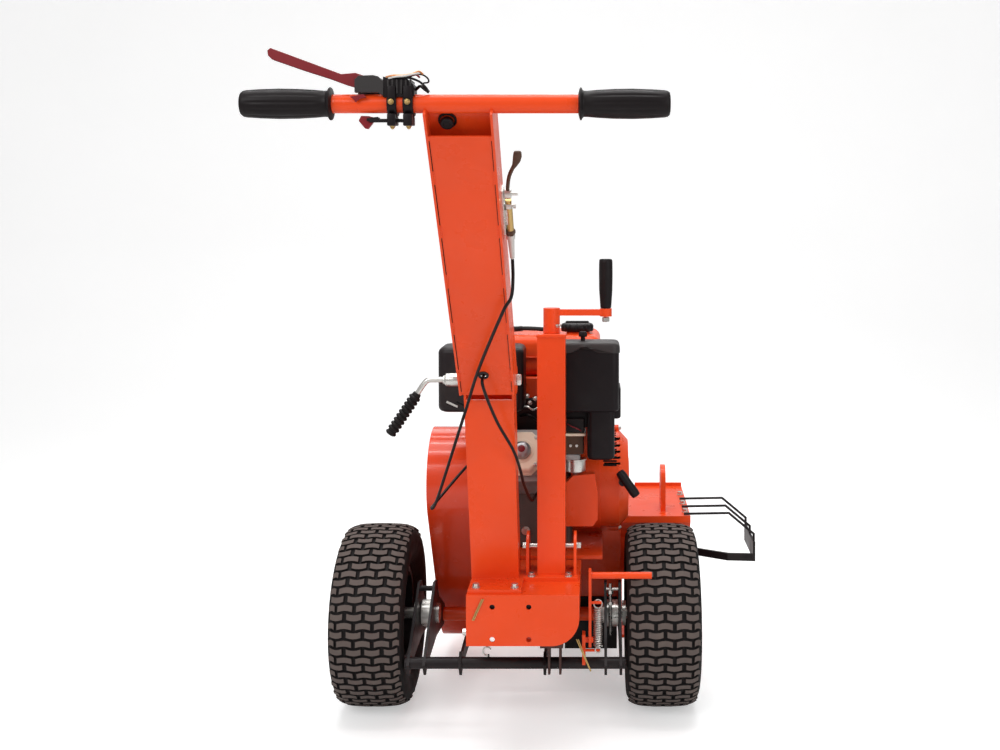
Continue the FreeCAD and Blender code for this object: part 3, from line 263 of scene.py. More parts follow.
class Build:
    """Gathers several closed shapes, in millimetres, into one piece."""

    def __init__(self, name):
        self.name = name
        self.verts = []
        self.faces = []
        self.marks = []
        self.materials = []

    def add(self, shape, material, frame_matrix=None, more_faces=(), more_material=None):
        verts, faces = shape
        start = len(self.verts)
        for v in verts:
            point = Vector(v)
            self.verts.append(frame_matrix @ point if frame_matrix is not None else point)
        for group, tone in ((faces, material), (more_faces, more_material)):
            if group and tone not in self.materials:
                self.materials.append(tone)
            for f in group:
                self.faces.append([start + n for n in f])
                self.marks.append(self.materials.index(tone))

    def piece(self, body, slot, replaces=(), smooth=34, bevel=0.0, blend=None):
        mesh = bpy.data.meshes.new(self.name)
        mesh.from_pydata([at(*v) for v in self.verts], [], self.faces)
        for material in self.materials:
            mesh.materials.append(material)
        mesh.polygons.foreach_set("material_index", self.marks)
        work = bmesh.new()
        work.from_mesh(mesh)
        bmesh.ops.recalc_face_normals(work, faces=work.faces)
        work.to_mesh(mesh)
        work.free()
        mesh.shade_smooth()
        mesh.set_sharp_from_angle(angle=math.radians(smooth))
        item = bpy.data.objects.new(self.name, mesh)
        bpy.context.scene.collection.objects.link(item)
        if bevel:
            soft = item.modifiers.new("edges", "BEVEL")
            soft.width = bevel * MM
            soft.segments = 2
            soft.limit_method = "ANGLE"
            soft.angle_limit = math.radians(40)
        if blend:
            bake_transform(item)
        else:
            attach(item, body)
        if replaces:
            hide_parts(*replaces)


def axis_frame(origin, direction):
    """A frame whose Z runs along a direction from a point."""
    turn = Vector(direction).to_track_quat("Z", "Y").to_matrix().to_4x4()
    return Matrix.Translation(Vector(origin)) @ turn


def lathe(profile, segments=48, ripple=None):
    """Spin (along, radius) pairs about Z; ripple(angle, along) may add to the radius."""
    verts, faces = [], []
    for along, radius in profile:
        for n in range(segments):
            angle = 2 * math.pi * n / segments
            r = radius + (ripple(angle, along) if ripple else 0)
            verts.append((r * math.cos(angle), r * math.sin(angle), along))
    for row in range(len(profile) - 1):
        for n in range(segments):
            a, b = row * segments + n, row * segments + (n + 1) % segments
            faces.append((a, b, b + segments, a + segments))
    faces.append(tuple(reversed(range(segments))))
    last = (len(profile) - 1) * segments
    faces.append(tuple(range(last, last + segments)))
    return verts, faces


def ring_lathe(profile, segments=64):
    """Spin a closed profile of (along, radius) pairs about Z."""
    verts, faces = [], []
    count = len(profile)
    for n in range(segments):
        angle = 2 * math.pi * n / segments
        for along, radius in profile:
            verts.append((radius * math.cos(angle), radius * math.sin(angle), along))
    for n in range(segments):
        for k in range(count):
            a, b = n * count + k, n * count + (k + 1) % count
            c, d = ((n + 1) % segments) * count + (k + 1) % count, ((n + 1) % segments) * count + k
            faces.append((a, b, c, d))
    return verts, faces


def smooth_path(points, steps):
    """Catmull-Rom points through the given ones."""
    pts = [Vector(p) for p in points]
    pts = [pts[0] * 2 - pts[1]] + pts + [pts[-1] * 2 - pts[-2]]
    out = []
    for a, b, c, d in zip(pts, pts[1:], pts[2:], pts[3:]):
        for k in range(steps):
            t = k / steps
            out.append(0.5 * (2 * b + (c - a) * t + (2 * a - 5 * b + 4 * c - d) * t * t
                              + (3 * b - a - 3 * c + d) * t ** 3))
    out.append(pts[-2])
    return out


def sweep(points, radius, sides, steps):
    """Carry a round section along a path, smoothed where steps is more than one."""
    path = smooth_path(points, steps) if steps > 1 else [Vector(p) for p in points]
    heading = (path[1] - path[0]).normalized()
    across = heading.orthogonal().normalized()
    verts, faces = [], []
    ring = [(math.cos(2 * math.pi * n / sides), math.sin(2 * math.pi * n / sides))
            for n in range(sides)]
    count = len(ring)
    for k, point in enumerate(path):
        ahead = path[min(k + 1, len(path) - 1)] - path[max(k - 1, 0)]
        new_heading = ahead.normalized()
        across = (across - new_heading * across.dot(new_heading)).normalized()
        up = new_heading.cross(across)
        for u, v in ring:
            verts.append(point + across * u * radius + up * v * radius)
    for k in range(len(path) - 1):
        for n in range(count):
            a, b = k * count + n, k * count + (n + 1) % count
            faces.append((a, b, b + count, a + count))
    faces.append(tuple(reversed(range(count))))
    last = (len(path) - 1) * count
    faces.append(tuple(range(last, last + count)))
    return verts, faces


def slab(points, plane, start, thickness):
    """Extrude a polygon: plane YZ goes along X, XZ along Y, XY along Z."""
    count = len(points)
    verts = []
    for level in (start, start + thickness):
        for u, v in points:
            verts.append({"YZ": (level, u, v), "XZ": (u, level, v), "XY": (u, v, level)}[plane])
    faces = [tuple(reversed(range(count))), tuple(range(count, 2 * count))]
    for n in range(count):
        m = (n + 1) % count
        faces.append((n, m, m + count, n + count))
    return verts, faces


def rounded_rect(u0, u1, v0, v1, radius, steps=5):
    points = []
    for cu, cv, begin in ((u1 - radius, v1 - radius, 0), (u0 + radius, v1 - radius, 90),
                          (u0 + radius, v0 + radius, 180), (u1 - radius, v0 + radius, 270)):
        for k in range(steps + 1):
            a = math.radians(begin + 90 * k / steps)
            points.append((cu + radius * math.cos(a), cv + radius * math.sin(a)))
    return points


def loft(rings):
    """Join rings of equal length, capped at both ends."""
    count = len(rings[0])
    verts = [p for ring in rings for p in ring]
    faces = [tuple(reversed(range(count)))]
    for k in range(len(rings) - 1):
        for n in range(count):
            a, b = k * count + n, k * count + (n + 1) % count
            faces.append((a, b, b + count, a + count))
    last = (len(rings) - 1) * count
    faces.append(tuple(range(last, last + count)))
    return verts, faces


def soft_block(x0, x1, y0, y1, z0, z1, corner, crown, steps=5):
    """A block with rounded upright corners and softened top and bottom edges."""
    rings = []
    levels = 5
    for k in range(levels + 1):
        a = math.pi / 2 * k / levels
        rings.append((crown * (1 - math.sin(a)), z0 + crown * (1 - math.cos(a))))
    for k in range(levels + 1):
        a = math.pi / 2 * (levels - k) / levels
        rings.append((crown * (1 - math.sin(a)), z1 - crown * (1 - math.cos(a))))
    return loft([
        [(u, v, z) for u, v in rounded_rect(x0 + i, x1 - i, y0 + i, y1 - i, corner, steps)]
        for i, z in rings
    ])


def hexagon(radius, height, chamfer=1.0):
    return lathe([(0, radius), (height - chamfer, radius), (height, radius - chamfer)], 6)


def bolt_head(build, point, direction, radius, material=None):
    """Washer, chamfered hexagon and a domed end, standing on a face."""
    where = axis_frame(point, direction)
    tone = material or ZINC
    build.add(lathe([(0, radius * 1.3), (1.6, radius * 1.3), (1.9, radius * 1.2)], 28), tone,
              where)
    build.add(hexagon(radius, radius * 0.85), tone, where @ Matrix.Translation((0, 0, 1.9)))
    build.add(lathe([(0, radius * 0.5), (radius * 0.25, radius * 0.45)], 20), tone,
              where @ Matrix.Translation((0, 0, 1.9 + radius * 0.85)))


# ---------------------------------------------------------------- tyres

CARCASS_LINE = [(54, 101), (62, 110), (75, 136), (81.5, 160), (78, 182), (58, 193.6),
                (26, 196.8), (0, 197.2)]


def carcass_curve():
    """The outer half profile from the bead to the crown, mirrored to the other bead."""
    half = [Vector((x, r, 0)) for x, r in CARCASS_LINE]
    whole = [Vector((-p.x, p.y, 0)) for p in half] + half[-2::-1]
    return smooth_path(whole, 6)


CURVE = carcass_curve()
CURVE_RUN = [0.0]
for before, after in zip(CURVE, CURVE[1:]):
    CURVE_RUN.append(CURVE_RUN[-1] + (after - before).length)


def on_carcass(across, raised):
    """The (x, radius) of a point a distance across the tread, raised off the carcass."""
    run = CURVE_RUN[-1] / 2 + across
    n = max(1, min(len(CURVE) - 1, next((i for i, r in enumerate(CURVE_RUN) if r >= run),
                                        len(CURVE) - 1)))
    share = (run - CURVE_RUN[n - 1]) / (CURVE_RUN[n] - CURVE_RUN[n - 1])
    point = CURVE[n - 1].lerp(CURVE[n], share)
    along = (CURVE[n] - CURVE[n - 1]).normalized()
    normal = Vector((-along.y, along.x, 0))
    if normal.y < 0:
        normal = -normal
    return point + normal * raised


TREAD_ROWS = 68
TREAD_PITCH = 40.0
TREAD_RADIUS = 200
EVEN_ROW = ((-1.72, 14), (-1, 34.5), (0, 34.5), (1, 34.5), (1.72, 14))
ODD_ROW = ((-1.46, 29), (-0.5, 34.5), (0.5, 34.5), (1.46, 29))


def tread_block(across, angle, width, height, bend, raised):
    """One bowed tread block with chamfered shoulders."""
    steps = (-0.5, -0.25, 0, 0.25, 0.5)
    ring = [(u, -0.5) for u in steps] + [(u, 0.5) for u in reversed(steps)]
    verts = []
    for lift, shrink in ((-1.0, 1.0), (raised - 1.0, 0.97), (raised, 0.91)):
        for u, v in ring:
            flat = on_carcass(across + u * width * shrink, lift)
            turn = angle + (v * height * shrink + bend * (1 - 8 * u * u)) / TREAD_RADIUS
            verts.append((flat.x, flat.y * math.cos(turn), flat.y * math.sin(turn)))
    tops = [(20 + n, 21 + n, 28 - n, 29 - n) for n in range(4)]
    walls = [(level + n, level + (n + 1) % 10, level + (n + 1) % 10 + 10, level + n + 10)
             for level in (0, 10) for n in range(10)]
    return verts, walls, tops


def tyre(name, wheel_x):
    """Carcass with raised rings on its walls, and rows of bowed blocks set like bricks."""
    build = Build(name + "_turf_tyre")
    centre = Matrix.Translation(Vector((wheel_x, 0, HUB_Z)))
    spin = Matrix(((0, 0, 1, 0), (1, 0, 0, 0), (0, 1, 0, 0), (0, 0, 0, 1)))
    outer = [(p.x, p.y) for p in CURVE]
    inner = [(46, 101), (64, 140), (68, 160), (60, 180), (30, 188), (-30, 188), (-60, 180),
             (-68, 160), (-64, 140), (-46, 101)]
    build.add(ring_lathe(outer + inner, 96), CARCASS, centre @ spin)
    for x, r in ((74.6, 142), (76.6, 150), (66, 120), (63.4, 114)):
        for way in (-1, 1):
            bead = [(way * (x + 1.6 * math.cos(a)), r + 1.6 * math.sin(a))
                    for a in (k * math.pi / 4 for k in range(8))]
            build.add(ring_lathe(bead, 72), CARCASS, centre @ spin)
    for row in range(TREAD_ROWS):
        angle = 2 * math.pi * row / TREAD_ROWS
        blocks, bow = (ODD_ROW, 1.5) if row % 2 else (EVEN_ROW, -1.5)
        for place, width in blocks:
            verts, walls, tops = tread_block(place * TREAD_PITCH, angle, width, 13.4, bow,
                                             5.0 if abs(place) > 1.2 else 5.6)
            build.add((verts, walls), CARCASS, centre, tops, TREAD)
    build.piece(name + "_wheel", "tyre_rubber", (name + "_tyre",), smooth=30)


tyre("left", -HUB_X)
tyre("right", HUB_X)

# ---------------------------------------------------------------- handle grips


def handle_grip(name, x, way):
    """Bulged grip with long shallow flutes, a rounded end and a thin inner flange."""
    build = Build(name)
    where = axis_frame((x, BAR_Y, BAR_Z), (way, 0, 0))
    outline = [(0.5, 13), (1.5, 18), (5, 20.6), (10, 21.6), (30, 23), (60, 24), (90, 23.6),
               (118, 22.0), (132, 20.6), (137, 20.8), (139, 22.3), (140.2, 25.4), (141.6, 26.2),
               (143.2, 25.4), (144.2, 22), (145.5, 17)]
    fine = []
    for (a0, r0), (a1, r1) in zip(outline, outline[1:]):
        fine += [(a0 + (a1 - a0) * k / 3, r0 + (r1 - r0) * k / 3) for k in range(3)]
    fine.append(outline[-1])

    def flutes(angle, along):
        fade = max(0, min(1, (along - 12) / 10, (126 - along) / 10))
        return -0.9 * fade * (0.5 + 0.5 * math.cos(12 * angle)) ** 3

    build.add(lathe(fine, 144, flutes), GRIP, where)
    return build


handle_grip("left_bar_grip", -382, 1).piece("mast", "grip_rubber", ("handle_grips",), smooth=50)
handle_grip("right_bar_grip", 296, -1).piece("mast", "grip_rubber", smooth=50)

# ---------------------------------------------------------------- lever, perch and wires


def beside_bar(points):
    """XZ points given above the bar's middle."""
    return [(x, BAR_Z + z) for x, z in points]


LEVER_SIDE = beside_bar([(-182, 20), (-214, 29), (-240, 38.6), (-282, 52), (-331, 69),
                         (-337, 75), (-338, 83), (-333, 87), (-222, 46), (-200, 48), (-178, 41)])
LEVER_TOP = beside_bar([(-338, 83), (-333, 87), (-222, 46), (-200, 48), (-178, 41), (-178, 38.5),
                        (-200, 45.5), (-222.5, 43.5), (-333, 84.4), (-336.5, 81)])
lever = Build("brake_style_hand_lever")
for y in (-7, 5):
    lever.add(slab(LEVER_SIDE, "XZ", BAR_Y + y, 2), RED)
lever.add(slab(LEVER_TOP, "XZ", BAR_Y - 6, 12), RED)
lever.add(lathe([(0, 8.5), (10.5, 8.5)], 28), RED, axis_frame((-176, BAR_Y - 5.2, BAR_Z + 29),
                                                              (0, 1, 0)))
lever.piece("hand_lever", "red_lever", ("hand_lever",), bevel=0.8)

CHEEK = beside_bar([(-199, 16), (-199, 36), (-193, 42), (-170, 43), (-162, 41), (-154, 33),
                    (-154, 11), (-163, 16)])
CORE = beside_bar([(-155, 9), (-155, 41), (-146, 39), (-141, 41), (-134, 38), (-128, 40),
                   (-116, 37), (-107, 29), (-106, 12), (-110, 9)])
perch = Build("lever_perch_and_clamps")
for y in (-18, 8.2):
    perch.add(slab(CHEEK, "XZ", BAR_Y + y, 9.8), GREY_PLASTIC)
perch.add(slab(CORE, "XZ", BAR_Y - 16, 32), PLASTIC)
for n in range(6):
    x = -148 + n * 7
    perch.add(slab(beside_bar([(x, 14), (x, 36), (x + 2.6, 36), (x + 2.6, 14)]), "XZ",
                   BAR_Y - 18.5, 37), GREY_PLASTIC)
for x, width in ((-149, 15), (-124, 16)):
    where = axis_frame((x, BAR_Y, BAR_Z), (1, 0, 0))
    perch.add(ring_lathe([(0, 15.3), (0, 20), (1.5, 21), (width - 1.5, 21), (width, 20),
                          (width, 15.3)], 48), PLASTIC, where)
    for low, high in ((-36, -17), (6, 26)):
        perch.add(soft_block(x + 1, x + width - 1, BAR_Y - 22, BAR_Y - 10, BAR_Z + low,
                             BAR_Z + high, 2, 1.5, 3), PLASTIC)
    perch.add(soft_block(x + 1, x + width - 1, BAR_Y - 10, BAR_Y + 12, BAR_Z - 34, BAR_Z - 20, 2,
                         1.5, 3), PLASTIC)
    bolt_head(perch, (x + width / 2, BAR_Y - 22, BAR_Z + 1), (0, -1, 0), 3.6, BRASS)
    bolt_head(perch, (x + width / 2, BAR_Y - 8, BAR_Z - 35), (0, 0, -1), 3.6, BRASS)
perch.add(sweep([(-178, BAR_Y - 6, BAR_Z - 27), (-150, BAR_Y - 6, BAR_Z - 27),
                 (-120, BAR_Y - 6, BAR_Z - 27)], 3, 12, 3), PLASTIC)
for y in (-8, 4.4):
    perch.add(slab(beside_bar([(-182, -28), (-182, -23), (-164, -21), (-164, -27)]), "XZ",
                   BAR_Y + y, 3.6), PLASTIC)
perch.add(slab(beside_bar([(-206, 9), (-184, 13), (-180, 8), (-190, 6), (-197, 0), (-199, 4)]),
               "XZ", BAR_Y - 21, 3), RED)
perch.add(lathe([(0, 3), (34, 3)], 20), ZINC, axis_frame((-176, BAR_Y - 17, BAR_Z + 29),
                                                         (0, 1, 0)))
perch.piece("mast", "black_plastic", ("lever_perch",), bevel=0.7)

WIRES = (
    (COPPER, 1.7, [(-150, -15, 40), (-138, -19, 42), (-122, -20, 42), (-108, -18, 45),
                   (-99, -13, 49), (-93, -10, 45)]),
    (WHITE, 1.5, [(-146, -17, 38), (-134, -21, 40), (-120, -22, 41), (-108, -20, 44),
                  (-99, -15, 46)]),
    (SHEATH, 1.9, [(-148, -10, 40), (-128, -18, 39), (-112, -20, 38), (-98, -16, 33),
                   (-90, -10, 26), (-85, -4, 19)]),
    (SHEATH, 1.4, [(-120, -8, 39), (-106, -10, 44), (-95, -6, 45), (-87, -2, 40), (-86, 0, 34),
                   (-94, 2, 33)]),
    (SHEATH, 2.4, [(-106, 0, 22), (-98, -6, 27), (-91, -8, 22), (-84, -8, 17)]),
    (RED, 1.5, [(-126, -12, 40), (-114, -17, 42), (-104, -14, 44), (-98, -10, 40)]),
)
wires = Build("switch_wires")
for tone, radius, route in WIRES:
    wires.add(sweep([(x, BAR_Y + y, BAR_Z + z) for x, y, z in route], radius, 10, 6), tone)
wires.piece("mast", "cable_sheath")

claw = Build("lock_trigger")
claw.add(slab(beside_bar([(-168, -22.5), (-180, -19.5), (-192, -19), (-196, -27), (-186, -39),
                          (-181, -40), (-173, -30)]), "XZ", BAR_Y - 3.4, 6.8), RED)
claw.piece("lever_lock", "red_lever", ("lever_lock",), bevel=0.9)

# ---------------------------------------------------------------- mast fittings

bezel = Build("switch_bezel")
bezel.add(ring_lathe([(0, 11.6), (0, 15), (2.5, 15), (3.2, 14), (3.2, 11.6)], 48), PLASTIC,
          MAST @ axis_frame((-21, -29, 672), (0, -1, 0)))
bezel.add(sweep([(-21, -27, 662), (-30, -24, 640), (-33, -20, 600)], 2.2, 10, 6), SHEATH, MAST)
bezel.piece("mast", "black_plastic")

switch = Build("push_switch")
switch.add(lathe([(0, 5), (5.5, 5), (5.5, 10.6), (12, 10.6), (13.2, 9.4), (13.2, 6.5),
                  (12.2, 5.6)], 40, lambda a, z: 0.25 * math.cos(20 * a) if z > 6 else 0), PLASTIC,
           MAST @ axis_frame((-21, -28.8, 672), (0, -1, 0)))
switch.piece("kill_switch", "black_plastic", ("kill_switch",))

# Dark strips along the mast's rear edges are painted shade in the stitch-weld gaps.
seams = Build("stitch_weld_gaps")
for side in (-1, 1):
    for low, high in ((30, 62), (96, 196), (228, 318), (352, 440), (470, 560), (588, 650)):
        seams.add(slab([(side * 49.1, low), (side * 50.6, low), (side * 50.6, high),
                        (side * 49.1, high)], "XZ", -56.5, 0.6), SHADE_FILL, MAST)
seams.piece("mast", "black_plastic")

beads = Build("weld_beads")
for side in (-1, 1):
    for low, high in ((62, 96), (196, 228), (318, 352), (440, 470), (560, 588)):
        count = int((high - low) / 4)
        for n in range(count):
            z = low + 2 + n * 4
            beads.add(lathe([(-0.4, 2.2), (0.9, 1.9), (1.5, 0.9)], 10), ORANGE,
                      MAST @ axis_frame((side * 49.6, -56, z), (0, -1, 0)))
beads.piece("mast", "orange_paint")

grommet = Build("cable_grommet")
ring = [(1.2 + 2.6 * math.cos(a), 8.2 + 2.4 * math.sin(a)) for a in
        (k * math.pi / 6 for k in range(12))]
grommet.add(ring_lathe(ring, 40), RUBBER, MAST @ axis_frame((-3, -56, 80), (0, -1, 0)))
grommet.piece("mast", "flap_rubber")

cable_lever = Build("paddle_lever")
cable_lever.add(lathe([(0, 8), (1, 9), (11, 9), (12, 8)], 32), ZINC,
                MAST @ axis_frame((58.5, -9, 500), (1, 0, 0)))
cable_lever.add(sweep([(64.5, -9, 503), (66, -9, 522), (70, -9, 542), (80, -9, 566)], 3.4, 12, 5),
                BROWN, MAST)
PADDLE = [(-1, -0.6), (-0.7, -1), (0.7, -1), (1, -0.6), (1, 0.6), (0.7, 1), (-0.7, 1), (-1, 0.6)]
cable_lever.add(loft([
    [(middle + dx * high, -9 + dy * wide, z) for dy, dx in PADDLE]
    for middle, z, wide, high in ((76, 556, 2.6, 3.0), (80, 564, 3, 4.6), (83, 572, 3, 6.6),
                                  (85, 582, 3, 7.4), (85.5, 589, 2.8, 6.6), (85.5, 592, 2, 4.8))
]), BROWN, MAST)
cable_lever.piece("cable_lever", "zinc", ("cable_lever",))

barrel = Build("cable_lever_mount")
barrel.add(slab([(-20, 415), (6, 415), (6, 505), (2, 511), (-16, 511), (-20, 505)], "YZ", 54.5, 3),
           ZINC, MAST)
barrel.add(soft_block(57, 64, -15, -3, 432, 468, 2, 2, 3), ZINC, MAST)
AXIS = MAST @ Matrix.Translation((64.5, -9, 0))
barrel.add(lathe([(408, 8.4), (410, 9), (416, 9), (418, 7.4)], 6), BROWN, AXIS)
barrel.add(lathe([(418, 6.4), (470, 6.4), (472, 5.6), (486, 5.6)], 32), BRASS, AXIS)
barrel.add(lathe([(470, 7.6), (478, 7.6)], 6), ZINC, AXIS)
barrel.add(lathe([(348, 3.6), (349, 4.2), (396, 6.2), (398, 8), (407, 8)], 32), WHITE, AXIS)
barrel.add(lathe([(0, 3), (24, 3), (25, 2.4)], 24), ZINC, MAST @ axis_frame((57, -9, 500),
                                                                           (1, 0, 0)))
barrel.add(lathe([(0, 5.4), (4.5, 5.4)], 6), ZINC, MAST @ axis_frame((73, -14, 478), (1, 0, 0)))
barrel.add(sweep([(60, -14, 478), (74, -14, 478)], 2.4, 12, 1), ZINC, MAST)
barrel.piece("mast", "zinc", ("cable_lever_bracket",), bevel=0.4)

# ---------------------------------------------------------------- clamp lever

ELBOW = Vector((-166.5, -332, 788))
WRIST = Vector((-228.5, -332, 696))
DOWN = (WRIST - ELBOW).normalized()
clamp = Build("clamp_handle_rod")
LINE = axis_frame((-128.5, -332, 790), (1, 0, 0))
clamp.add(lathe([(0, 9), (3, 12.4), (14, 13), (30, 13), (33, 12), (35.5, 12)], 40), ZINC, LINE)
clamp.add(lathe([(-4, 6), (-3, 8.4), (0, 8.8)], 32), ZINC, LINE)
clamp.add(lathe([(20, 7.9), (145, 7.9), (147, 6.5)], 32), ZINC, LINE)
clamp.add(lathe([(0, 12), (7, 12), (9, 10)], 6), ZINC, axis_frame((17, -332, 790), (1, 0, 0)))
clamp.add(sweep([(-122, -332, 790), (-150, -332, 790), (-162, -332, 789), ELBOW + DOWN * 8,
                 ELBOW + DOWN * 40, WRIST - DOWN * 2], 5.5, 20, 8), ZINC)
clamp.piece("clamp_lever", "zinc", ("clamp_lever",))

ribbed = [(-6, 5.6), (-5, 8), (0, 9)]
for n in range(9):
    start = 2 + n * 9.4
    ribbed += [(start, 9), (start + 1, 11), (start + 2.6, 12.2), (start + 4.6, 12.4),
               (start + 6.2, 11.2), (start + 7.2, 9)]
ribbed += [(88, 9), (90, 11.4), (93, 11), (95, 8)]
grip = Build("ribbed_clamp_grip")
grip.add(lathe(ribbed, 40), GRIP, axis_frame(ELBOW + DOWN * 36, DOWN))
grip.piece("clamp_lever", "grip_rubber", ("clamp_grip",), smooth=55)

# ---------------------------------------------------------------- cables and hose

THROTTLE = [(26.5, -569.5, 1040), (28, -579, 1005), (25, -585, 972), (9, -580, 944),
            (-45, -470, 830), (-80, -400, 735), (-150, -290, 540), (-166, -262, 514),
            (-150, -215, 530), (-109, -145, 572), (-80, -10, 585)]
CONTROL = [(-41, -422, 813), (-40, -446, 792), (-20, -384, 716), (9, -334, 648), (21, -298, 600),
           (26, -262, 562), (37, -190, 512), (46, -128, 512), (80, -92, 552), (104, -79, 588)]
MAST_CROSSING = ("frame", "mast", (0, -330, 680), (0, -470, 850))
for name, route, stands_for in (("throttle_cable", THROTTLE, ("control_cables",)),
                                ("control_cable", CONTROL, ())):
    cable = Build(name)
    cable.add(sweep(route, 3.1, 14, 16), SHEATH)
    cable.piece(None, "cable_sheath", stands_for, blend=MAST_CROSSING)

HOSE = [(-34, 70, 855), (4, 64, 858), (44, 58, 857), (84, 50, 854)]
GUARD_TURNS, GUARD_STEPS = 12, 15
hose = Build("fuel_hose_and_guard")
hose.add(sweep(HOSE, 5, 16, 10), RUBBER)
coil = []
for n in range(GUARD_TURNS * GUARD_STEPS + 1):
    turn = 2 * math.pi * n / GUARD_STEPS
    share = n / (GUARD_TURNS * GUARD_STEPS)
    spot = Vector(HOSE[0]).lerp(Vector(HOSE[1]), 0.95 * share)
    coil.append(spot + Vector((0, 6.2 * math.cos(turn), 6.2 * math.sin(turn))))
hose.add(sweep(coil, 1.0, 6, 1), BLACK)
hose.add(lathe([(0, 6), (0.5, 8), (7, 8), (8, 6.5)], 28), PLASTIC, axis_frame((-38, 70, 855),
                                                                             (1, 0, 0)))
hose.add(lathe([(0, 5), (10, 5), (10, 7), (15, 7)], 6), BRASS, axis_frame((78, 50, 840),
                                                                         (0, 0, 1)))
hose.piece("frame", "flap_rubber", ("fuel_hose",))

# ---------------------------------------------------------------- jack crank

GRIP_AXIS = axis_frame((197, -165, 868), (0, 0, 1))
crank_grip = Build("crank_handle_grip")
crank_grip.add(lathe([(54.5, 10), (56, 11.6), (70, 12.6), (95, 14.2), (130, 14.6), (152, 14.3),
                      (158, 14), (160.5, 12.5), (161, 9)], 64,
                     lambda a, z: 0.18 * math.cos(24 * a)), GRIP, GRIP_AXIS)
crank_grip.add(lathe([(26, 4.9), (56, 4.9)], 24), STEEL, GRIP_AXIS)
crank_grip.add(lathe([(25, 6.5), (26, 8), (34, 8), (35, 7)], 6), ZINC, GRIP_AXIS)
crank_grip.piece("crank_grip", "grip_rubber", ("crank_grip",))

jack_cap = Build("jack_cap_and_nipple")
jack_cap.add(soft_block(48, 112, -197, -133, 861, 868.6, 4, 1.6, 4), ORANGE)
jack_cap.piece("frame", "orange_paint")
nipple = Build("grease_nipple")
NIPPLE = axis_frame((91, -179, 885), (0.75, -0.6, 0.2))
nipple.add(lathe([(0, 4.2), (4, 4.2)], 6), ZINC, NIPPLE)
nipple.add(lathe([(4, 2.2), (8, 2), (9, 3), (11, 3), (12, 1.6)], 20), ZINC, NIPPLE)
nipple.piece("jack_crank", "zinc")

# ---------------------------------------------------------------- engine

cleaner = Build("air_cleaner_box")
cleaner.add(soft_block(71, 227, -105, -8, 686, 834, 16, 7), PLASTIC)
cleaner.add(soft_block(156, 217, -100, -8, 578, 692, 12, 8), PLASTIC)
cleaner.add(soft_block(96, 160, -66, -6, 646, 692, 5, 3), PLASTIC)
cleaner.add(soft_block(200, 231, -84, 10, 668, 740, 8, 6), PLASTIC)
lid_ring = rounded_rect(69, 229, -107, -6, 18, 10)
dense = []
for (u0, v0), (u1, v1) in zip(lid_ring, lid_ring[1:] + lid_ring[:1]):
    parts = max(1, int(math.hypot(u1 - u0, v1 - v0) / 5))
    dense += [(u0 + (u1 - u0) * k / parts, v0 + (v1 - v0) * k / parts) for k in range(parts)]
HUB = (149, -56)


def lid_level(u, v):
    """The lid's lower edge lifts in a soft arch at the middle of each long side."""
    bow = math.exp(-((u - 150) / 20) ** 2) if abs(v - HUB[1]) > 45 else 0.0
    return 818 + 15 * bow


rings = [[(u, v, lid_level(u, v)) for u, v in dense]]
for shrink, z in ((0.0, 828), (0.012, 833), (0.04, 837.5), (0.09, 840), (0.3, 841)):
    rings.append([(u + (HUB[0] - u) * shrink, v + (HUB[1] - v) * shrink,
                   max(z, lid_level(u, v) + 0.2)) for u, v in dense])
cleaner.add(loft(rings), GREY_PLASTIC)
cleaner.add(lathe([(839, 8), (842, 5.2), (850, 5.2), (851, 8), (858, 8), (862, 5)], 32,
                  lambda a, z: 1.6 * math.cos(2 * a) if z > 850 else 0), PLASTIC,
            Matrix.Translation((146, -58, 0)))
bolt_head(cleaner, (80, -108, 664), (0, -1, 0), 4)
cleaner.piece("frame", "black_plastic", ("air_cleaner",), smooth=40)

carb = Build("carburetor_body")
carb.add(soft_block(98, 150, -72, -10, 636, 668, 3, 2), BLACK)
carb.add(soft_block(92, 152, -76, -8, 628, 634, 2, 1.5), CREAM)
carb.add(soft_block(101, 148, -71, -13, 586, 628, 4, 3), BROWN)
carb.add(soft_block(104, 140, -70, -16, 572, 586, 6, 3), ALLOY)
CARB = axis_frame((128, -42, 541), (0, 0, 1))
carb.add(lathe([(0, 18), (3, 23), (8, 24), (27, 24), (28, 26), (31, 26)], 48), ZINC, CARB)
carb.add(lathe([(-6, 5), (0, 5.6)], 6), ZINC, CARB)
for x in (104, 118, 132):
    carb.add(lathe([(0, 3.4), (3, 3.4)], 6), ZINC, axis_frame((x, -71, 606), (0, -1, 0)))
carb.add(sweep([(100, -60, 650), (92, -74, 640), (90, -76, 616), (98, -72, 600)], 1.6, 10, 6),
         ZINC)
carb.add(sweep([(112, -73, 655), (120, -82, 652), (134, -82, 646), (142, -74, 640)], 1.4, 10, 6),
         RED)
carb.piece("frame", "cast_alloy", ("carburetor",))


def octagon(radius, z):
    return [(radius * math.cos(math.radians(22.5 + 45 * n)),
             radius * math.sin(math.radians(22.5 + 45 * n)), z) for n in range(8)]


valve = Build("octagonal_valve_cover")
valve.add(loft([octagon(54, 195), octagon(54, 199), octagon(52, 200), octagon(50, 201),
                octagon(48, 216), octagon(44, 219), octagon(30, 220.5)]), CREAM, HEAD)
valve.add(lathe([(219, 27), (221, 26.5), (222, 24), (221.4, 22)], 48), CREAM, HEAD)
valve.add(lathe([(218, 21), (224, 20.5), (231, 18.5), (235, 14), (236.6, 8)], 48), STEEL, HEAD)
valve.add(lathe([(236, 8.4), (238, 7.6), (239, 4)], 32), RED, HEAD)
for n in range(4):
    angle = math.radians(45 + 90 * n)
    bolt_head(valve, HEAD @ Vector((43 * math.cos(angle), 43 * math.sin(angle), 216)),
              HEAD.to_3x3() @ Vector((0, 0, 1)), 4)
valve.piece("frame", "cover_cream", ("valve_cover",), smooth=25)

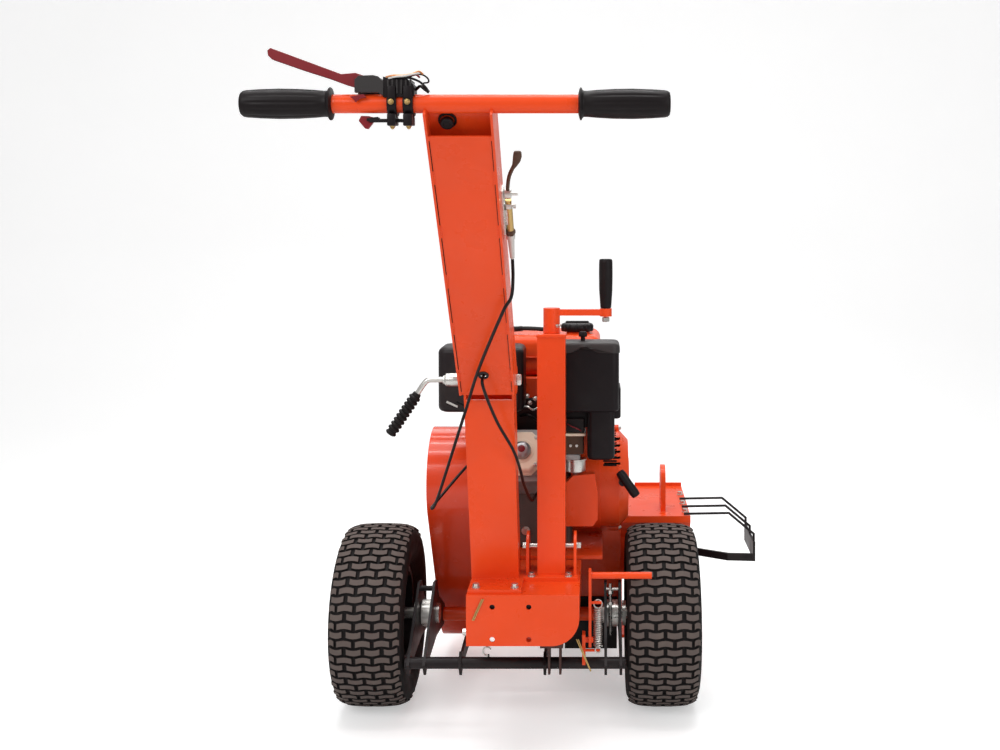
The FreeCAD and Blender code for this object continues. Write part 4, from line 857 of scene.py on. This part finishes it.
muffler = Build("muffler_box_and_guard")
muffler.add(soft_block(-175, 15, -110, 5, 686, 831, 18, 13), BLACK)
# Louver strips on the guard: the first is bright zinc as a painted highlight where a glint falls,
# and the others, with the marks on the far face, are painted shade in the openings.
for n in range(7):
    x = -156 + n * 22
    muffler.add(slab([(x, 709), (x + 2, 713), (x + 26, 702), (x + 25, 698)], "XZ", -111, 1.6),
                ZINC if n == 0 else SHADE_FILL)
    muffler.add(slab(rounded_rect(-150 + n * 24, -136 + n * 24, 4, 8, 1.5, 3), "XZ", 0, 0.1),
                SHADE_FILL, Matrix.Translation((0, 5, 750)))
muffler.add(ring_lathe([(0, 13), (0, 17), (22, 17), (22, 13)], 40), STEEL,
            axis_frame((-120, 4, 722), (-0.2, 1, -0.1)))
bolt_head(muffler, (3, -110.4, 757), (0, -1, 0), 4)
muffler.piece("frame", "black_paint", ("muffler",), smooth=40)

shroud = Build("engine_top_shrouds")
shroud.add(soft_block(-58, 116, 14, 146, 700, 748.5, 8, 4), ORANGE)
shroud.add(soft_block(-54, 114, 12, 148, 604, 700, 8, 4), BLACK)
shroud.add(slab([(10, 60), (64, 60), (70, 52), (70, -46), (62, -54), (10, -54)], "YZ", -56, 4),
           BLACK, Matrix.Translation((0, -50, 620)))
for x, z in ((4, 694), (22, 690), (34, 700), (16, 706)):
    bolt_head(shroud, (x, 11.5, z), (0, -1, 0), 4)
shroud.add(sweep([(-6, 8, 676), (14, -2, 684), (30, -4, 676), (44, 6, 682)], 2.4, 10, 6), ZINC)
shroud.add(sweep([(0, 6, 660), (20, -8, 664), (40, -6, 652), (60, 6, 646)], 3, 10, 6), SHEATH)
shroud.piece("frame", "black_paint")

seam = Build("tank_seam_and_outlet")
seam.add(slab(rounded_rect(-134, 189, 26, 254, 24, 6), "XY", 792, 3), ORANGE)
seam.add(lathe([(838, 34), (845, 32), (848, 29.5), (850, 29.5)], 48), ORANGE,
         Matrix.Translation((130, 100, 0)))
seam.piece("frame", "orange_paint", bevel=0.8)

cap = Build("scalloped_fuel_cap")
cap.add(lathe([(848.5, 24), (849, 37), (851, 39), (862, 39), (866, 37), (868, 32), (868.6, 20),
               (868.6, 6)], 120,
              lambda a, z: -2.4 * max(0, math.cos(12 * a)) ** 3 if z < 867 else 0), PLASTIC,
        Matrix.Translation((130, 100, 0)))
cap.add(soft_block(102, 158, 96, 104, 866, 873, 3, 3), PLASTIC)
cap.piece("fuel_cap", "black_plastic", ("fuel_cap",), smooth=45)

RECOIL = axis_frame((185, CRANK_Y, CRANK_Z), (1, 0, 0))
# Dark strips in the recoil cover's slots and a dark drum inside it: painted shade for the cover's
# interior.
slots = Build("recoil_cooling_slots")
for n in range(27):
    angle = 26 + 4.9 * n
    turn = (Matrix.Translation((0, CRANK_Y, CRANK_Z))
            @ Matrix.Rotation(math.radians(angle), 4, "X"))
    slots.add(slab([(114.6, -2.1), (115.5, -2.1), (115.5, 2.1), (114.6, 2.1)], "YZ", 192, 31),
              SHADE_FILL, turn)
slots.add(lathe([(3, 60), (3, 108), (43, 108), (52, 97), (53, 60)], 48), SHADE_FILL, RECOIL)
slots.piece("frame", "black_plastic")
recoil_ring = Build("recoil_hub_and_bolts")
recoil_ring.add(lathe([(65, 52), (67.5, 50), (68.5, 46), (68, 20)], 64), ORANGE, RECOIL)
for turned in (0, 88, 268):
    out_y, out_z = math.cos(math.radians(turned)), math.sin(math.radians(turned))
    bolt_head(recoil_ring, (229, CRANK_Y + 119 * out_y, CRANK_Z + 119 * out_z), (1, 0, 0), 4.5)
    recoil_ring.add(lathe([(20, 10), (44, 10)], 24), ORANGE,
                    axis_frame((185, CRANK_Y + 117 * out_y, CRANK_Z + 117 * out_z), (1, 0, 0)))
recoil_ring.piece("frame", "orange_paint")

MOUTH = Matrix.Translation((236, -50, 517))
PULL = MOUTH @ Matrix.Translation((12, 0, -2)) @ Matrix.Rotation(math.radians(-35), 4, "Y")
handle = Build("starter_pull_handle")
handle.add(lathe([(-34, 6), (-33, 9.4), (-24, 11), (0, 10.2), (24, 11), (33, 9.4), (34, 6)], 32),
           PLASTIC, PULL)
handle.add(lathe([(0, 8), (8, 9.4), (21, 8), (23, 5)], 32), PLASTIC,
           MOUTH @ axis_frame((0, 0, 0), (0, 1, 0)))
handle.piece("starter_grip", "black_plastic", ("starter_grip",))
rope = Build("starter_pull_cord")
rope.add(sweep([(236, -52 + 2 * n, 517) for n in range(23)], 2.2, 10, 1), SHEATH)
rope.piece(None, "cable_sheath", ("starter_rope",),
           blend=("frame", "starter_grip", (236, -10, 517), (236, -34, 517)))

# ---------------------------------------------------------------- wheel carriage

SPRING_X, SPRING_Y = 180, -182
SPRING_TURNS, SPRING_STEPS = 17, 16
spring = Build("coil_return_spring")
helix = []
for n in range(SPRING_TURNS * SPRING_STEPS + 1):
    turn = 2 * math.pi * n / SPRING_STEPS
    helix.append(Vector((SPRING_X + 8.6 * math.cos(turn), SPRING_Y + 8.6 * math.sin(turn),
                         192 + 82 * n / (SPRING_TURNS * SPRING_STEPS))))
spring.add(sweep(helix, 1.5, 8, 1), ZINC)
for z, wide in ((184, 6), (284, 9)):
    loop = [Vector((SPRING_X + wide * math.cos(a), SPRING_Y, z + wide * math.sin(a)))
            for a in (k * math.pi / 12 for k in range(25))]
    spring.add(sweep(loop, 1.6, 8, 1), ZINC)
spring.piece(None, "zinc", ("return_spring",),
             blend=("carriage", "lock_pedal", (SPRING_X, SPRING_Y, 188),
                    (SPRING_X, SPRING_Y, 280)))

link = Build("threaded_link_and_clips")
link.add(sweep([(208, -42, 166), (208, -42, 284)], 3.6, 16, 1), ZINC)
for n in range(22):
    link.add(lathe([(0, 3.6), (1.1, 4.4), (2.2, 3.6)], 16), ZINC,
             Matrix.Translation((208, -42, 176 + n * 4.6)))
for z in (236, 262):
    link.add(lathe([(0, 7), (7, 7)], 6), ZINC, Matrix.Translation((208, -42, z)))
link.add(sweep([(199, -42, 272), (226, -42, 272)], 3, 14, 1), ZINC)
hook = [Vector((-61 + 9 * math.cos(a), -165, 174.5 + 9 * math.sin(a)))
        for a in (math.radians(-70 - 14 * k) for k in range(20))]
link.add(sweep(hook, 1.8, 10, 1), ZINC)
link.add(sweep([(-58, -165, 160), (-58, -165, 168)], 2, 10, 1), BLACK)
for shift in (0, 4):
    link.add(sweep([(134 + shift, -207, 216), (147 + shift * 0.6, -207, 186),
                    (164 + shift * 0.3, -197, 143)], 1.2, 8, 6), BRASS)
link.piece("carriage", "zinc", ("lock_link_and_clips",))

backs = Build("base_box_inner_parts")
backs.add(slab(rounded_rect(-72, 72, 306, 334, 4), "XZ", -302, 3), BLACK)
backs.add(slab(rounded_rect(24, 60, 242, 266, 4), "XZ", -300, 3), GLOSSY_ORANGE)
backs.piece("frame", "black_paint")

split_pin = Build("brass_split_pin")
for shift in (0, 3.2):
    split_pin.add(sweep([(-57 + shift, -312.2, 337), (-67 + shift, -312.6, 316),
                         (-77 + shift, -312.2, 293)], 1.3, 8, 6), BRASS)
split_pin.piece("frame", "zinc")

for side, wheel in ((-1, "left_wheel"), (1, "right_wheel")):
    nuts = Build(wheel + "_nuts")
    for n in range(5):
        angle = 2 * math.pi * n / 5
        spot = (side * 329, 60 * math.cos(angle), HUB_Z + 60 * math.sin(angle))
        bolt_head(nuts, spot, (side, 0, 0), 8)
        bolt_head(nuts, (side * 321, spot[1], spot[2]), (-side, 0, 0), 8)
    nuts.add(lathe([(0, 26), (5, 25), (12, 20), (14, 12)], 40), ZINC,
             axis_frame((side * 366, 0, HUB_Z), (side, 0, 0)))
    nuts.piece(wheel, "zinc")

# ---------------------------------------------------------------- stage

BACKDROP = [(-6000, 0), (2600, 0), (3200, 60), (3700, 240), (4100, 560), (4400, 1000),
            (4550, 1600), (4600, 2400), (4600, 7000)]
sweep_mesh = bpy.data.meshes.new("pale_sweep")
corners = [at(x, y, z - 0.5) for y, z in BACKDROP for x in (-9000, 9000)]
sweep_mesh.from_pydata(corners, [], [(2 * n, 2 * n + 1, 2 * n + 3, 2 * n + 2)
                                     for n in range(len(BACKDROP) - 1)])
sweep_mesh.shade_smooth()
floor = bpy.data.objects.new("pale_sweep", sweep_mesh)
bpy.context.scene.collection.objects.link(floor)
pale = Shader("pale_floor")
tone = pale.mix(pale.noise(1.5), (0.80, 0.80, 0.80), (0.84, 0.84, 0.84))
glow = pale.node("ShaderNodeLightPath").outputs["Is Camera Ray"]
pale.output(Base_Color=tone, Roughness=0.7, Emission_Color=(1, 1, 1, 1),
            Emission_Strength=pale.spread(glow, 0, 1, 0.02, 0.42))
sweep_mesh.materials.append(pale.material)


def area_light(name, spot, aim, width, height, power):
    light = bpy.data.lights.new(name, "AREA")
    light.shape = "RECTANGLE"
    light.size = width
    light.size_y = height
    light.energy = power
    item = bpy.data.objects.new(name, light)
    bpy.context.scene.collection.objects.link(item)
    item.location = at(*spot)
    item.rotation_mode = "QUATERNION"
    item.rotation_quaternion = (at(*aim) - at(*spot)).to_track_quat("-Z", "Y")


area_light("key", (-1900, -3400, 2900), (0, -100, 600), 2.2, 1.6, 62)
area_light("fill", (2600, -2900, 1900), (0, -100, 500), 2.0, 2.0, 34)
area_light("top", (0, -300, 3500), (0, 0, 400), 2.6, 2.2, 46)
area_light("back", (600, 2300, 2700), (0, 0, 500), 3.0, 1.2, 26)
for n, y in enumerate((-680, 190, 1025)):
    area_light(f"strip_{n}", (-200, y, 2600), (-200, 100, 500), 1.8, 0.1, 7)

world = bpy.data.worlds.new("studio")
world.use_nodes = True
sky = world.node_tree
lit = sky.nodes["Background"]
lit.inputs["Color"].default_value = (1, 1, 1, 1)
lit.inputs["Strength"].default_value = 0.42
plain = sky.nodes.new("ShaderNodeBackground")
plain.inputs["Color"].default_value = (0.93, 0.93, 0.93, 1)
by_ray = sky.nodes.new("ShaderNodeLightPath")
either = sky.nodes.new("ShaderNodeMixShader")
sky.links.new(by_ray.outputs["Is Camera Ray"], either.inputs[0])
sky.links.new(lit.outputs[0], either.inputs[1])
sky.links.new(plain.outputs[0], either.inputs[2])
sky.links.new(either.outputs[0], sky.nodes["World Output"].inputs["Surface"])
bpy.context.scene.world = world
bpy.context.scene.view_settings.view_transform = "Standard"

FOCAL_PX = 1150
FRAME_PX = 1000
SENSOR = 36
PITCH = 1.5
camera_data = bpy.data.cameras.new("camera")
camera_data.sensor_width = SENSOR
camera_data.lens = SENSOR * FOCAL_PX / FRAME_PX
camera_data.shift_x = -0.1
camera_data.shift_y = -(150 - FOCAL_PX * math.tan(math.radians(PITCH))) / FRAME_PX
camera = bpy.data.objects.new("camera", camera_data)
bpy.context.scene.collection.objects.link(camera)
camera.location = at(184.5, -2645, 1102)
camera.rotation_euler = (math.radians(90 - PITCH), 0, 0)
bpy.context.scene.camera = camera
